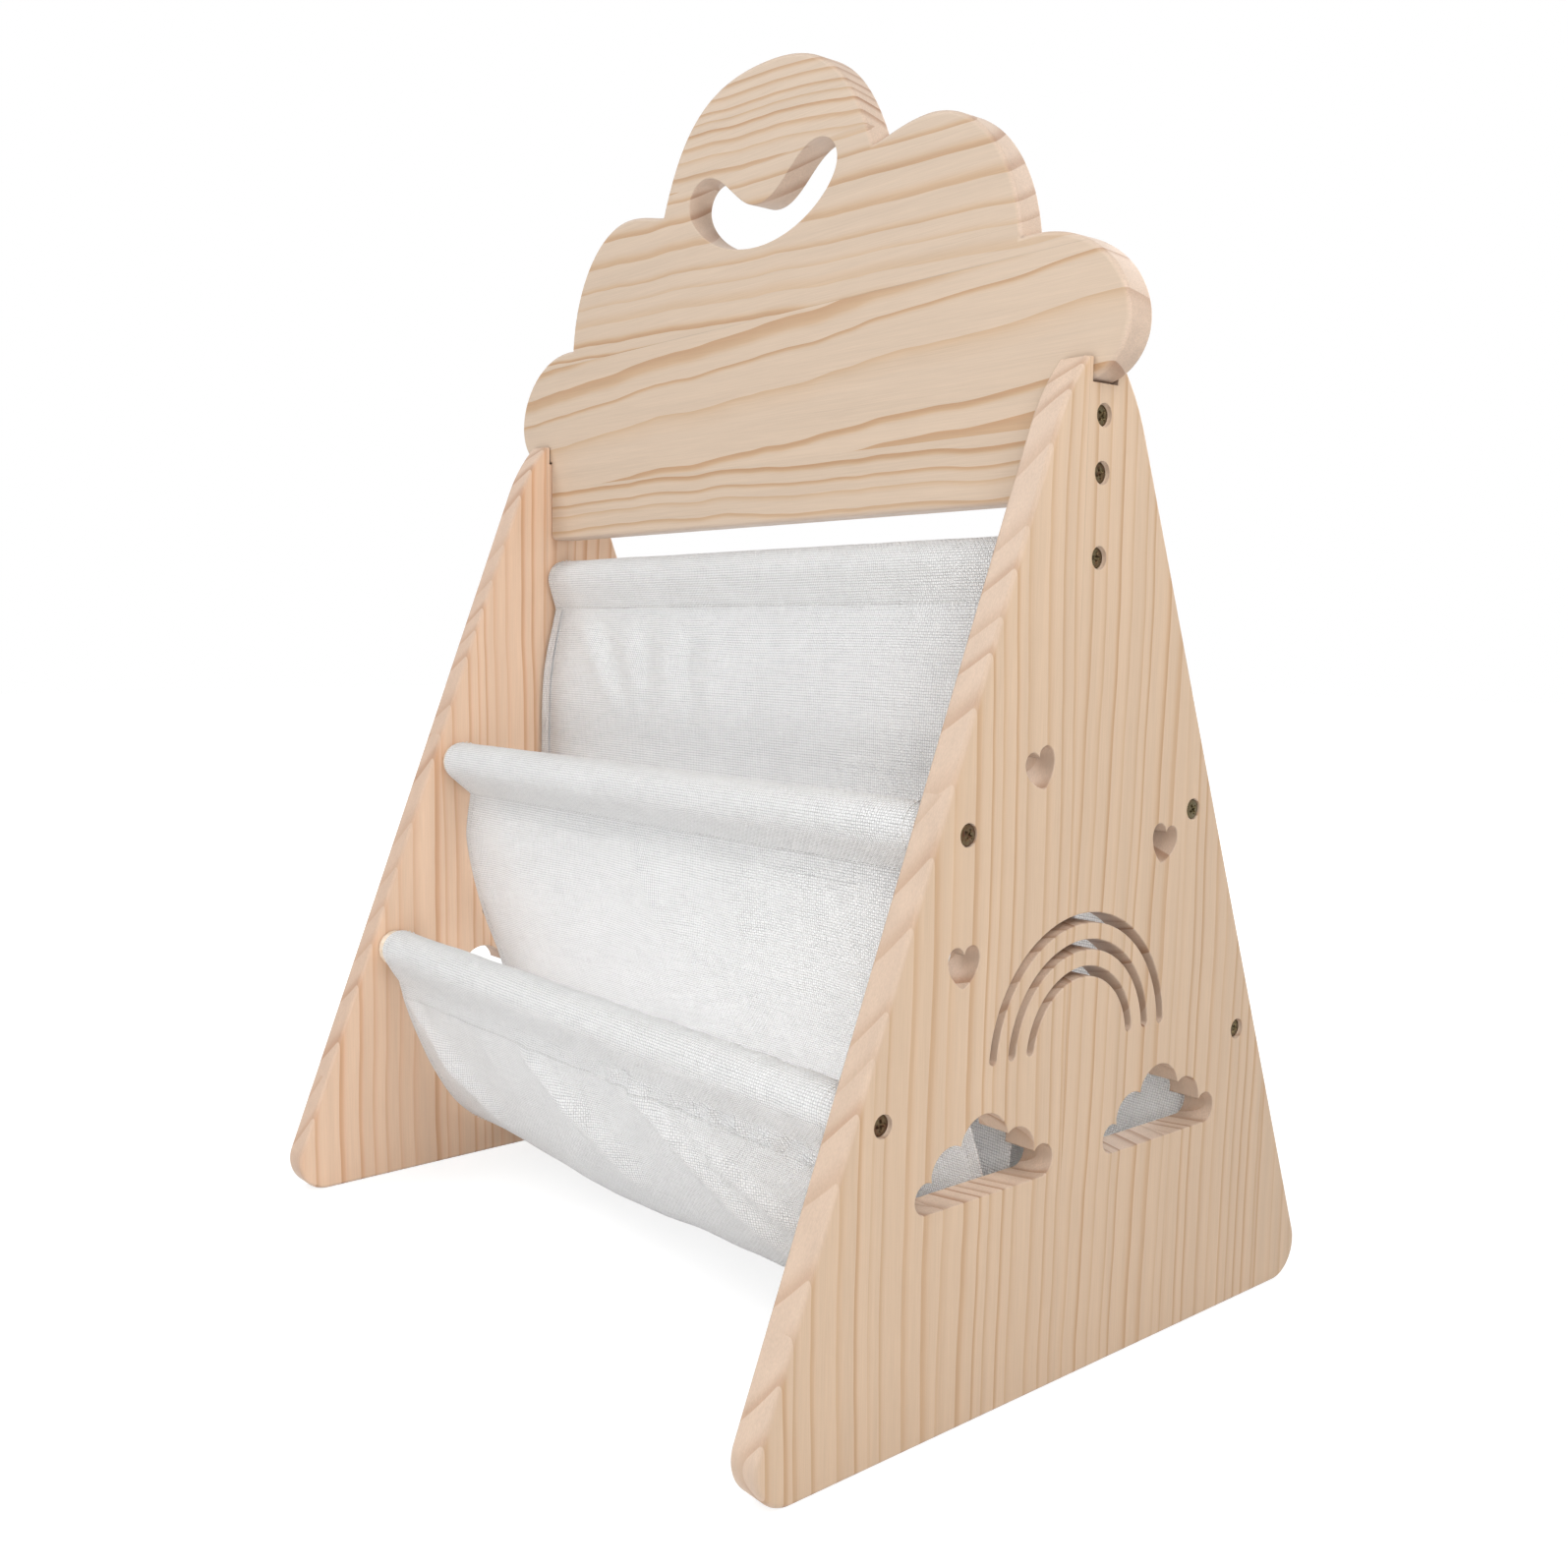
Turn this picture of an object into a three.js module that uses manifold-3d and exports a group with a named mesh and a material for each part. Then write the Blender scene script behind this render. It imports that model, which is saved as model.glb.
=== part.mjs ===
// Sling bookshelf for a child's room: two A-shaped pine side panels, a cloud
// shaped top board with a hand hole, five round rods and white cloth slings.
// Millimetres. X runs along the rods, Y from front to back and Z up. The
// origin lies on the floor under the middle of the shelf.

import * as THREE from 'three';
import { mergeVertices } from 'three/addons/utils/BufferGeometryUtils.js';
import Module from 'manifold-3d';

const wasm = await Module();
wasm.setup();

// Gaps and overruns that every fit shares
const fit = 0.3;
const overrun = 5;

// Boards
const boardThickness = 18;
const innerWidth = 445;
const edgeRound = 3;

// Outline of a side panel, one half: straight sides that would meet the floor
// at footHalfWidth, and below the top a shoulder arc that closes in on it
const panelHeight = 500;
const footHalfWidth = 217;
const footRadius = 20;
const shoulderDrop = 32;
const shoulderHalfWidth = 33;
const shoulderRadius = 104;

// Notch in the top of each side panel, which takes the cloud board
const notchDepth = 11.5;
const notchPlay = 0.5;

// Cloud board: rises above the edge that rests in the notches, the depth of
// its neck below that edge, and half widths from its middle
const neckDepth = 53.3;
const neckCornerRadius = 4;
const tabRadius = 27;
const tabOverhang = 18.5;
const tabLobeLength = 59;
const tabLobeRise = 73.5;
const outerCuspSetback = 5.5;
const outerCuspRise = 73.2;
const shoulderLobeX = 130;
const shoulderLobeRise = 146.5;
const innerCuspX = 92;
const innerCuspRise = 140.7;
const crownRise = 207.2;

// Hand hole, a smiling crescent: half widths, and drops below the crown
const handHoleHalfWidth = 65;
const handHoleHornX = 50;
const handHoleHornDrop = 53.5;
const handHoleEndDrop = 67;
const handHoleLipDrop = 78;
const handHoleBottomDrop = 101.5;

// Rods: the top one lies clear below the cloud board, and the others lie at
// their own heights, inset from the slanted sides of the panels
const rodDiameter = 24;
const rodChamfer = 1;
const topRodClearance = 15.5;
const midRodZ = 282.5;
const midRodInset = 19.9;
const lowRodZ = 158;
const lowRodInset = 18.4;

// Screws that run through the side panels
const screwShank = 4.6;
const screwHead = 10.2;
const screwHeadHeight = 3;
const screwGrip = 30;
const screwPoint = 4;
const screwSlotWidth = 1.6;
const screwSlotLength = 6;
const screwSlotDepth = 1.4;
const deepSink = 1.6;
const flushSink = 0.2;
const cloudScrewDrops = [14.8, 41.3];

// Ornaments cut through the side panels
const rainbowCentreZ = 170;
const rainbowEndRise = 5.3;
const rainbowSlot = 5;
const rainbowRadius = 65;
const rainbowStep = 13.25;
const rainbowBands = 3;
const heartWidth = 20.8;
const heartHeight = 19.2;
const windowWidth = 96;
const windowSill = 110.8;
const frontWindowY = -115;
const backWindowY = 21;

// Cloth
const clothThickness = 1.2;
const clothSideGap = 5;
const topSeamHalf = 7;
const topSeamSlack = 8.5;
const midSeamInset = 7;
const midSeamSlack = 10.7;
const lowSeamInset = -1.5;
const lowSeamSlack = 10;
const pocketBottom = 82;
const lowerSlingBottom = 18;
const pocketRipple = 1.6;
const pocketWaves = 2;
const pocketLagShare = 0.6;
const lowerSlingRipple = 2.4;
const lowerSlingWaves = 3;
const lowerSlingLagShare = 0.5;
const lowerSlingDip = 9;

// Smoothness of curves
const outlineSteps = 8;
const handHoleSteps = 7;
const bandSteps = 16;
const capSteps = 4;
const lobeSteps = 3;
const heartSteps = 3;
const roundSteps = 16;
const screwSteps = 12;
const bevelSteps = 2;
const loopSteps = 13;
const pocketSteps = 23;
const lowerSlingSteps = 24;
const clothStations = 9;

// Sizes worked out from the ones above
const outerWidth = innerWidth + 2 * boardThickness;
const shoulderHeight = panelHeight - shoulderDrop;
const notchFloor = panelHeight - notchDepth;
const notchHalfWidth = boardThickness / 2 + notchPlay;
const restZ = notchFloor + fit;
const neckBottom = restZ - neckDepth;
const neckHalfWidth = innerWidth / 2 - fit;
const tabReach = outerWidth / 2 + tabOverhang;
const tabLobeStart = tabReach - tabLobeLength;
const crownTop = restZ + crownRise;
const cloudScrewHeights = cloudScrewDrops.map((drop) => restZ - drop);
const rodLength = innerWidth - 2 * fit;
const topRodZ = neckBottom - topRodClearance - rodDiameter / 2;
const midRodY = sideHalfWidth(midRodZ) - midRodInset;
const lowRodY = sideHalfWidth(lowRodZ) - lowRodInset;
const clothWidth = innerWidth - 2 * clothSideGap;
const sleeveInner = rodDiameter / 2 + fit;
const sleeveOuter = sleeveInner + clothThickness;
const sleeveMiddle = sleeveInner + clothThickness / 2;
const hemGap = clothThickness + fit;
const topSeamDrop = rodDiameter / 2 + topSeamSlack;
const topSeamZ = topRodZ - topSeamDrop;
const midSeamDrop = rodDiameter / 2 + midSeamSlack;
const midSeamY = midRodY - midSeamInset;
const midSeamZ = midRodZ - midSeamDrop;
const lowSeamDrop = rodDiameter / 2 + lowSeamSlack;
const lowSeamY = lowRodY - lowSeamInset;
const lowSeamZ = lowRodZ - lowSeamDrop;

// Colours and finishes
const finishes = {
  pine: { color: 0xdcb894, roughness: 0.62, metalness: 0 },
  rod: { color: 0xe0bf98, roughness: 0.6, metalness: 0 },
  cloth: { color: 0xf0f0ee, roughness: 0.92, metalness: 0 },
  screw: { color: 0x8c7a58, roughness: 0.4, metalness: 0.9 },
};

// Half the width of a side panel, between its slanted sides, at a height
function sideHalfWidth(z) {
  return footHalfWidth - (footHalfWidth - shoulderHalfWidth) * z / shoulderHeight;
}

// A geometry as a solid that can be joined and cut
function toSolid(geometry) {
  const bare = geometry.clone();
  bare.deleteAttribute('normal');
  bare.deleteAttribute('uv');
  const merged = mergeVertices(bare);
  const vertProperties = new Float32Array(merged.attributes.position.array);
  const triVerts = new Uint32Array(merged.index.array);
  return new wasm.Manifold(new wasm.Mesh({ numProp: 3, vertProperties, triVerts }));
}

// A solid back as a geometry
function toGeometry(solid) {
  const mesh = solid.getMesh();
  const geometry = new THREE.BufferGeometry();
  geometry.setAttribute('position', new THREE.BufferAttribute(mesh.vertProperties, 3));
  geometry.setIndex(new THREE.BufferAttribute(mesh.triVerts, 1));
  geometry.computeVertexNormals();
  return geometry;
}

// One geometry with the others cut out of it
function cut(body, cutters) {
  let solid = toSolid(body);
  for (const cutter of cutters) solid = solid.subtract(toSolid(cutter));
  return toGeometry(solid);
}

// Turns a shape drawn in (y, z) and pulled along its own normal so that the
// pull runs along X
function alongX(geometry) {
  const turn = new THREE.Matrix4().set(0, 0, 1, 0, 1, 0, 0, 0, 0, 1, 0, 0, 0, 0, 0, 1);
  return geometry.applyMatrix4(turn);
}

// Turns a shape drawn in (x, z) so that its pull runs along Y, from back to front
function alongY(geometry) {
  const turn = new THREE.Matrix4().set(1, 0, 0, 0, 0, 0, -1, 0, 0, 1, 0, 0, 0, 0, 0, 1);
  return geometry.applyMatrix4(turn);
}

// A board with its edges rounded over on both faces, centred on its thickness
function roundedBoard(shape, curveSegments) {
  const geometry = new THREE.ExtrudeGeometry(shape, {
    depth: boardThickness - 2 * edgeRound,
    curveSegments,
    bevelEnabled: true,
    bevelThickness: edgeRound,
    bevelSize: edgeRound,
    bevelOffset: -edgeRound,
    bevelSegments: bevelSteps,
  });
  return geometry.translate(0, 0, edgeRound - boardThickness / 2);
}

// A cutter through a board that is centred on its thickness
function boardCutter(shape, curveSegments) {
  const depth = boardThickness + 2 * overrun;
  const geometry = new THREE.ExtrudeGeometry(shape, { depth, curveSegments, bevelEnabled: false });
  return geometry.translate(0, 0, -depth / 2);
}

// A cylinder along X from x0 to x1 at a place in (y, z)
function barAlongX(radius, x0, x1, y, z) {
  const geometry = new THREE.CylinderGeometry(radius, radius, x1 - x0, screwSteps);
  return geometry.rotateZ(Math.PI / 2).translate((x0 + x1) / 2, y, z);
}

// Points of an arc from one angle to another
function arcPoints(x, z, radius, from, to, steps) {
  const curve = new THREE.EllipseCurve(x, z, radius, radius, from, to, to < from);
  return curve.getPoints(steps);
}

// Side panel outline in (y, z)
function panelOutline() {
  const rise = Math.atan2(shoulderHeight, footHalfWidth - shoulderHalfWidth);
  const footRun = footRadius / Math.tan(rise / 2);
  const footX = footHalfWidth - footRun;
  const sideNormal = Math.PI / 2 - rise;
  const arcX = shoulderHalfWidth - shoulderRadius * Math.cos(sideNormal);
  const arcZ = shoulderHeight - shoulderRadius * Math.sin(sideNormal);
  const arcEnd = Math.asin((panelHeight - arcZ) / shoulderRadius);
  const shape = new THREE.Shape();
  shape.moveTo(-footX, 0);
  shape.lineTo(footX, 0);
  shape.absarc(footX, footRadius, footRadius, -Math.PI / 2, sideNormal, false);
  shape.absarc(arcX, arcZ, shoulderRadius, sideNormal, arcEnd, false);
  shape.absarc(-arcX, arcZ, shoulderRadius, Math.PI - arcEnd, Math.PI - sideNormal, false);
  shape.absarc(-footX, footRadius, footRadius, Math.PI - sideNormal, 3 * Math.PI / 2, false);
  return shape;
}

// A heart drawn about its middle, with its tip down, and tilted about it
const heartShares = [
  [0.18, 0.06, 0.5, 0.38, 0.5, 0.68],
  [0.5, 0.88, 0.38, 1, 0.25, 1],
  [0.13, 1, 0.02, 0.92, 0, 0.8],
];
function heartShape(y, z, tilt) {
  const place = (share, rise) => {
    const across = share * heartWidth;
    const up = (rise - 0.5) * heartHeight;
    return [
      y + across * Math.cos(tilt) - up * Math.sin(tilt),
      z + across * Math.sin(tilt) + up * Math.cos(tilt),
    ];
  };
  const shape = new THREE.Shape();
  shape.moveTo(...place(0, 0));
  for (const [ax, az, bx, bz, cx, cz] of heartShares) {
    shape.bezierCurveTo(...place(ax, az), ...place(bx, bz), ...place(cx, cz));
  }
  const back = [...heartShares].reverse();
  const ends = [...back.slice(1).map((row) => row.slice(4)), [0, 0]];
  back.forEach(([ax, az, bx, bz], index) => {
    const [cx, cz] = ends[index];
    shape.bezierCurveTo(...place(-bx, bz), ...place(-ax, az), ...place(-cx, cz));
  });
  return shape;
}

// One band of the rainbow: a half ring slot with round ends
function rainbowShape(radius) {
  const half = rainbowSlot / 2;
  const rise = Math.asin(rainbowEndRise / radius);
  const endY = radius * Math.cos(rise);
  const endZ = rainbowCentreZ + rainbowEndRise;
  const halfTurn = Math.PI;
  const fall = halfTurn - rise;
  return new THREE.Shape([
    ...arcPoints(0, rainbowCentreZ, radius + half, rise, fall, bandSteps),
    ...arcPoints(-endY, endZ, half, fall, fall + halfTurn, capSteps).slice(1, -1),
    ...arcPoints(0, rainbowCentreZ, radius - half, fall, rise, bandSteps),
    ...arcPoints(endY, endZ, half, rise + halfTurn, rise + 2 * halfTurn, capSteps).slice(1, -1),
  ]);
}

// Cloud shaped window: lobes as (centre, height, radius) in shares of its width
const windowLobeShares = [
  [0.078, 0.077, 0.077],
  [0.25, 0.156, 0.141],
  [0.479, 0.234, 0.177],
  [0.714, 0.156, 0.141],
  [0.915, 0.085, 0.085],
];

// The upper point where two circles of the window cross
function upperCrossing(a, b) {
  const dx = b.y - a.y;
  const dz = b.z - a.z;
  const gap = Math.hypot(dx, dz);
  const along = (a.r * a.r - b.r * b.r + gap * gap) / (2 * gap);
  const across = Math.sqrt(a.r * a.r - along * along);
  return [a.y + (along * dx - across * dz) / gap, a.z + (along * dz + across * dx) / gap];
}

function windowShape(startY) {
  const lobes = windowLobeShares.map(([y, z, r]) => ({
    y: startY + y * windowWidth,
    z: windowSill + z * windowWidth,
    r: r * windowWidth,
  }));
  const shape = new THREE.Shape();
  let from = -Math.PI / 2;
  lobes.forEach((lobe, index) => {
    const next = lobes[index + 1];
    const [y, z] = next ? upperCrossing(lobe, next) : [lobe.y, lobe.z - lobe.r];
    shape.absarc(lobe.y, lobe.z, lobe.r, from, Math.atan2(z - lobe.z, y - lobe.y), true);
    if (next) from = Math.atan2(z - next.z, y - next.y);
  });
  return shape;
}

// Screw places on a side panel: height, distance from the middle and sink
const screwPlaces = [
  { name: 'cloud_upper', y: 0, z: cloudScrewHeights[0], sink: deepSink },
  { name: 'cloud_lower', y: 0, z: cloudScrewHeights[1], sink: deepSink },
  { name: 'top_rod', y: 0, z: topRodZ, sink: deepSink },
  { name: 'mid_front', y: -midRodY, z: midRodZ, sink: flushSink },
  { name: 'mid_back', y: midRodY, z: midRodZ, sink: flushSink },
  { name: 'low_front', y: -lowRodY, z: lowRodZ, sink: deepSink },
  { name: 'low_back', y: lowRodY, z: lowRodZ, sink: deepSink },
];

// Hearts on a side panel: place as shares of the half foot width and of the
// panel height, and tilt in degrees
const heartPlaceShares = [
  [-0.17, 0.619, 17],
  [0.286, 0.533, -12],
  [-0.4, 0.444, 0],
];

// One side panel: its outer face looks along +X and its middle plane is x = 0
function sidePanelGeometry() {
  const outerFace = boardThickness / 2;
  const notch = new THREE.BoxGeometry(
    boardThickness + 2 * overrun, 2 * notchHalfWidth, notchDepth + overrun,
  );
  notch.translate(0, 0, notchFloor + (notchDepth + overrun) / 2);
  const cutters = [notch];
  for (let band = 0; band < rainbowBands; band += 1) {
    cutters.push(alongX(boardCutter(rainbowShape(rainbowRadius - band * rainbowStep), 1)));
  }
  for (const startY of [frontWindowY, backWindowY]) {
    cutters.push(alongX(boardCutter(windowShape(startY), lobeSteps)));
  }
  for (const [y, z, tilt] of heartPlaceShares) {
    const heart = heartShape(y * footHalfWidth, z * panelHeight, THREE.MathUtils.degToRad(tilt));
    cutters.push(alongX(boardCutter(heart, heartSteps)));
  }
  for (const { y, z, sink } of screwPlaces) {
    const seat = outerFace - sink - screwHeadHeight - fit;
    cutters.push(barAlongX(screwHead / 2 + fit, seat, outerFace + overrun, y, z));
    cutters.push(barAlongX(screwShank / 2 + fit, -outerFace - overrun, seat + fit, y, z));
  }
  return cut(alongX(roundedBoard(panelOutline(), outlineSteps)), cutters);
}

// Cloud board outline in (x, z). The handles of each curve are shares of the
// box between its two ends.
const crownHandleShares = [[0.188, 0.676], [0.435, 1]];
const shoulderRiseHandleShares = [[0.18, 0], [0.55, 1]];
const shoulderFallHandleShares = [[0.5, 0], [0.94, 0.4]];
const tabLobeHandleShares = [[0.61, 0], [1, 0.53]];

// Points of one curve, from start to end, with its handles as box shares
function boxCurve(start, end, handleShares, steps = outlineSteps) {
  const place = ([x, z]) => new THREE.Vector2(
    start[0] + x * (end[0] - start[0]), start[1] + z * (end[1] - start[1]),
  );
  const [first, second] = handleShares;
  const curve = new THREE.CubicBezierCurve(place([0, 0]), place(first), place(second), place([1, 1]));
  return curve.getPoints(steps);
}

function cloudOutline() {
  const cornerX = neckHalfWidth - neckCornerRadius;
  const tabTip = [tabReach, restZ + tabRadius];
  const tabLobe = [tabLobeStart, restZ + tabLobeRise];
  const outerCusp = [tabLobeStart - outerCuspSetback, restZ + outerCuspRise];
  const shoulderLobe = [shoulderLobeX, restZ + shoulderLobeRise];
  const innerCusp = [innerCuspX, restZ + innerCuspRise];
  const half = [
    ...arcPoints(cornerX, neckBottom + neckCornerRadius, neckCornerRadius, -Math.PI / 2, 0, capSteps),
    new THREE.Vector2(neckHalfWidth, restZ),
    ...arcPoints(tabReach - tabRadius, tabTip[1], tabRadius, -Math.PI / 2, 0, outlineSteps),
    ...boxCurve(tabLobe, tabTip, tabLobeHandleShares).reverse(),
    new THREE.Vector2(...outerCusp),
    ...boxCurve(shoulderLobe, outerCusp, shoulderFallHandleShares).reverse(),
    ...boxCurve(innerCusp, shoulderLobe, shoulderRiseHandleShares).reverse(),
    ...boxCurve(innerCusp, [0, crownTop], crownHandleShares),
  ];
  const mirrored = half.map((point) => new THREE.Vector2(-point.x, point.y)).reverse();
  const outline = [...half, ...mirrored];
  const distinct = outline.filter((point, index) => {
    const before = outline[(index + outline.length - 1) % outline.length];
    return point.distanceTo(before) > fit / 10;
  });
  return new THREE.Shape(distinct);
}

// Hand hole: the curves of its right half, mirrored for the left
const lipHandleShares = [[0.4, 0], [0.6, 1]];
const hornHandleShares = [[0.55, 0], [1, 0.45]];
const bellyHandleShares = [[0, 0.4], [0.42, 1]];
function handHoleShape() {
  const lip = [0, crownTop - handHoleLipDrop];
  const horn = [handHoleHornX, crownTop - handHoleHornDrop];
  const end = [handHoleHalfWidth, crownTop - handHoleEndDrop];
  const belly = [0, crownTop - handHoleBottomDrop];
  const half = [
    ...boxCurve(lip, horn, lipHandleShares, handHoleSteps),
    ...boxCurve(horn, end, hornHandleShares, capSteps).slice(1),
    ...boxCurve(end, belly, bellyHandleShares, handHoleSteps).slice(1),
  ];
  const mirrored = half.slice(1, -1).map((point) => new THREE.Vector2(-point.x, point.y)).reverse();
  return new THREE.Shape([...half, ...mirrored]);
}

function cloudBoardGeometry() {
  const cutters = [alongY(boardCutter(handHoleShape(), 1))];
  for (const z of cloudScrewHeights) {
    for (const side of [-1, 1]) {
      const inner = side * (outerWidth / 2 - boardThickness - screwGrip - fit);
      const outer = side * (neckHalfWidth + overrun);
      const ends = [Math.min(inner, outer), Math.max(inner, outer)];
      cutters.push(barAlongX(screwShank / 2 + fit, ...ends, 0, z));
    }
  }
  return cut(alongY(roundedBoard(cloudOutline(), outlineSteps)), cutters);
}

// A rod along X with small chamfers, and a pilot hole in each end
function rodGeometry() {
  const radius = rodDiameter / 2;
  const half = rodLength / 2;
  const profile = [
    new THREE.Vector2(0, -half),
    new THREE.Vector2(radius - rodChamfer, -half),
    new THREE.Vector2(radius, -half + rodChamfer),
    new THREE.Vector2(radius, half - rodChamfer),
    new THREE.Vector2(radius - rodChamfer, half),
    new THREE.Vector2(0, half),
  ];
  const rod = new THREE.LatheGeometry(profile, roundSteps).rotateZ(-Math.PI / 2);
  const depth = innerWidth / 2 - screwGrip - fit;
  const pilot = screwShank / 2 + fit;
  return cut(rod, [
    barAlongX(pilot, depth, half + overrun, 0, 0),
    barAlongX(pilot, -half - overrun, -depth, 0, 0),
  ]);
}

// A pan head screw along X, with its head's seat at x = 0, its point at -X
// and a cross recess in the head
function screwGeometry(reach) {
  const head = screwHead / 2;
  const shank = screwShank / 2;
  const crownOutShare = 0.7;
  const crownUpShare = 0.9;
  const profile = [
    new THREE.Vector2(0, -reach),
    new THREE.Vector2(shank, screwPoint - reach),
    new THREE.Vector2(shank, 0),
    new THREE.Vector2(head, 0),
    new THREE.Vector2(head, screwHeadHeight / 2),
    new THREE.Vector2(crownOutShare * head, crownUpShare * screwHeadHeight),
    new THREE.Vector2(0, screwHeadHeight),
  ];
  const body = new THREE.LatheGeometry(profile, screwSteps).rotateZ(-Math.PI / 2);
  const slotHeight = screwSlotDepth + overrun;
  const cutters = [0, Math.PI / 2].map((turn) => {
    const slot = new THREE.BoxGeometry(slotHeight, screwSlotLength, screwSlotWidth);
    slot.rotateX(turn);
    return slot.translate(screwHeadHeight - screwSlotDepth + slotHeight / 2, 0, 0);
  });
  return cut(body, cutters);
}

// The sleeve on the top rod is a closed tunnel with a seam on each side of
// its foot: the hull of a circle and the two seam points below it
function tunnelOutline(radius, seamHalf, seamDrop) {
  const reach = Math.hypot(seamHalf, seamDrop);
  const seamAngle = Math.atan2(-seamDrop, seamHalf) + Math.acos(radius / reach);
  return [
    ...arcPoints(0, 0, radius, seamAngle, Math.PI - seamAngle, roundSteps),
    new THREE.Vector2(-seamHalf, -seamDrop),
    new THREE.Vector2(seamHalf, -seamDrop),
  ];
}

function topSleeveGeometry() {
  const shape = new THREE.Shape(tunnelOutline(sleeveOuter, topSeamHalf, topSeamDrop));
  const innerHalf = topSeamHalf - clothThickness;
  const innerDrop = topSeamDrop - clothThickness;
  shape.holes.push(new THREE.Path(tunnelOutline(sleeveInner, innerHalf, innerDrop)));
  const geometry = new THREE.ExtrudeGeometry(shape, {
    depth: clothWidth, steps: 1, bevelEnabled: false,
  });
  return alongX(geometry.translate(0, 0, -clothWidth / 2));
}

// The end of a sheet folded round a rod at the front: from the seam below the
// rod up its front, over the top, down its back and in behind the seam
function hemLoop(rodY, rodZ, seamInset, seamDrop) {
  const seam = new THREE.Vector2(rodY + seamInset, rodZ - seamDrop);
  const seamAngle = Math.atan2(-seamDrop, seamInset);
  const spread = Math.acos(sleeveMiddle / Math.hypot(seamInset, seamDrop));
  const from = seamAngle - spread;
  const to = seamAngle + spread - 2 * Math.PI;
  const arc = arcPoints(rodY, rodZ, sleeveMiddle, from, to, loopSteps);
  const hem = arc[arc.length - 1].clone().sub(seam).setLength(hemGap).add(seam);
  return [seam, ...arc, hem];
}

// A hanging sheet of cloth. section(x) gives the points of its middle line at
// one station along X; the sheet has the cloth's thickness on every side.
function sheetGeometry(section) {
  const steps = section(0).length - 1;
  const positions = [];
  const index = [];
  const half = clothThickness / 2;
  const rows = clothStations + 1;
  for (let row = 0; row < rows; row += 1) {
    const x = clothWidth * (row / clothStations - 0.5);
    const points = section(x);
    points.forEach((point, column) => {
      const before = points[Math.max(column - 1, 0)];
      const after = points[Math.min(column + 1, steps)];
      const run = after.clone().sub(before).normalize();
      positions.push(x, point.x - half * run.y, point.y + half * run.x);
      positions.push(x, point.x + half * run.y, point.y - half * run.x);
    });
  }
  const at = (row, column, side) => 2 * (row * (steps + 1) + column) + side;
  const quad = (a, b, c, d) => index.push(a, b, c, a, c, d);
  for (let row = 0; row < clothStations; row += 1) {
    for (let column = 0; column < steps; column += 1) {
      quad(at(row, column, 0), at(row + 1, column, 0), at(row + 1, column + 1, 0), at(row, column + 1, 0));
      quad(at(row, column, 1), at(row, column + 1, 1), at(row + 1, column + 1, 1), at(row + 1, column, 1));
    }
    quad(at(row, 0, 0), at(row, 0, 1), at(row + 1, 0, 1), at(row + 1, 0, 0));
    quad(at(row, steps, 0), at(row + 1, steps, 0), at(row + 1, steps, 1), at(row, steps, 1));
  }
  for (let column = 0; column < steps; column += 1) {
    quad(at(0, column, 0), at(0, column + 1, 0), at(0, column + 1, 1), at(0, column, 1));
    const end = clothStations;
    quad(at(end, column, 0), at(end, column, 1), at(end, column + 1, 1), at(end, column + 1, 0));
  }
  const geometry = new THREE.BufferGeometry();
  geometry.setAttribute('position', new THREE.Float32BufferAttribute(positions, 3));
  geometry.setIndex(index);
  geometry.computeVertexNormals();
  return geometry;
}

// Front pocket: its inner wall falls from the seam under the top rod to the
// bottom, and its front wall rises from there to the seam under the middle
// rod. Each point is a share of the way across and along the height.
const pocketBottomShare = 0.37;
const pocketInnerShares = [
  [0, 0],
  [0.149, 0.049],
  [0.319, 0.105],
  [0.432, 0.17],
  [0.486, 0.285],
  [0.5, 0.45],
  [0.5, 0.61],
  [0.514, 0.77],
  [0.554, 0.885],
  [0.703, 0.965],
  [1, 1],
];
const pocketFrontShares = [
  [0.175, 0.06],
  [0.317, 0.18],
  [0.524, 0.343],
  [0.77, 0.498],
  [0.944, 0.649],
  [1.048, 0.801],
  [1.056, 0.876],
];

// Points along a smooth line, evenly spaced
function smoothLine(points, steps) {
  return new THREE.SplineCurve(points).getSpacedPoints(steps);
}

// Soft ripples along X that fade out at both ends of the line. The lag turns
// the waves as they run along it.
function ripple(points, x, height, waves, lagShare) {
  return points.map((point, index) => {
    const along = index / (points.length - 1);
    const swell = Math.sin(Math.PI * along) ** 2;
    const phase = 2 * Math.PI * (waves * x / clothWidth + lagShare * along);
    const before = points[Math.max(index - 1, 0)];
    const after = points[Math.min(index + 1, points.length - 1)];
    const run = after.clone().sub(before).normalize();
    const shift = height * swell * Math.sin(phase);
    return new THREE.Vector2(point.x - shift * run.y, point.y + shift * run.x);
  });
}

// Points of a line whose shares run from one place to another
function shareLine(shares, start, end) {
  return shares.map(([across, along]) => new THREE.Vector2(
    THREE.MathUtils.lerp(start.x, end.x, across), THREE.MathUtils.lerp(start.y, end.y, along),
  ));
}

function pocketSection(x) {
  const loop = hemLoop(-midRodY, midRodZ, midSeamInset, midSeamDrop);
  const top = new THREE.Vector2(-topSeamHalf - fit, topSeamZ - fit);
  const seam = loop[0];
  const bottomY = THREE.MathUtils.lerp(top.x, seam.x, pocketBottomShare);
  const bottom = new THREE.Vector2(bottomY, pocketBottom);
  const line = [
    ...shareLine(pocketInnerShares, top, bottom),
    ...shareLine(pocketFrontShares, bottom, seam),
    seam,
  ];
  const smooth = smoothLine(line, pocketSteps);
  return [...ripple(smooth, x, pocketRipple, pocketWaves, pocketLagShare), ...loop.slice(1)];
}

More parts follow.
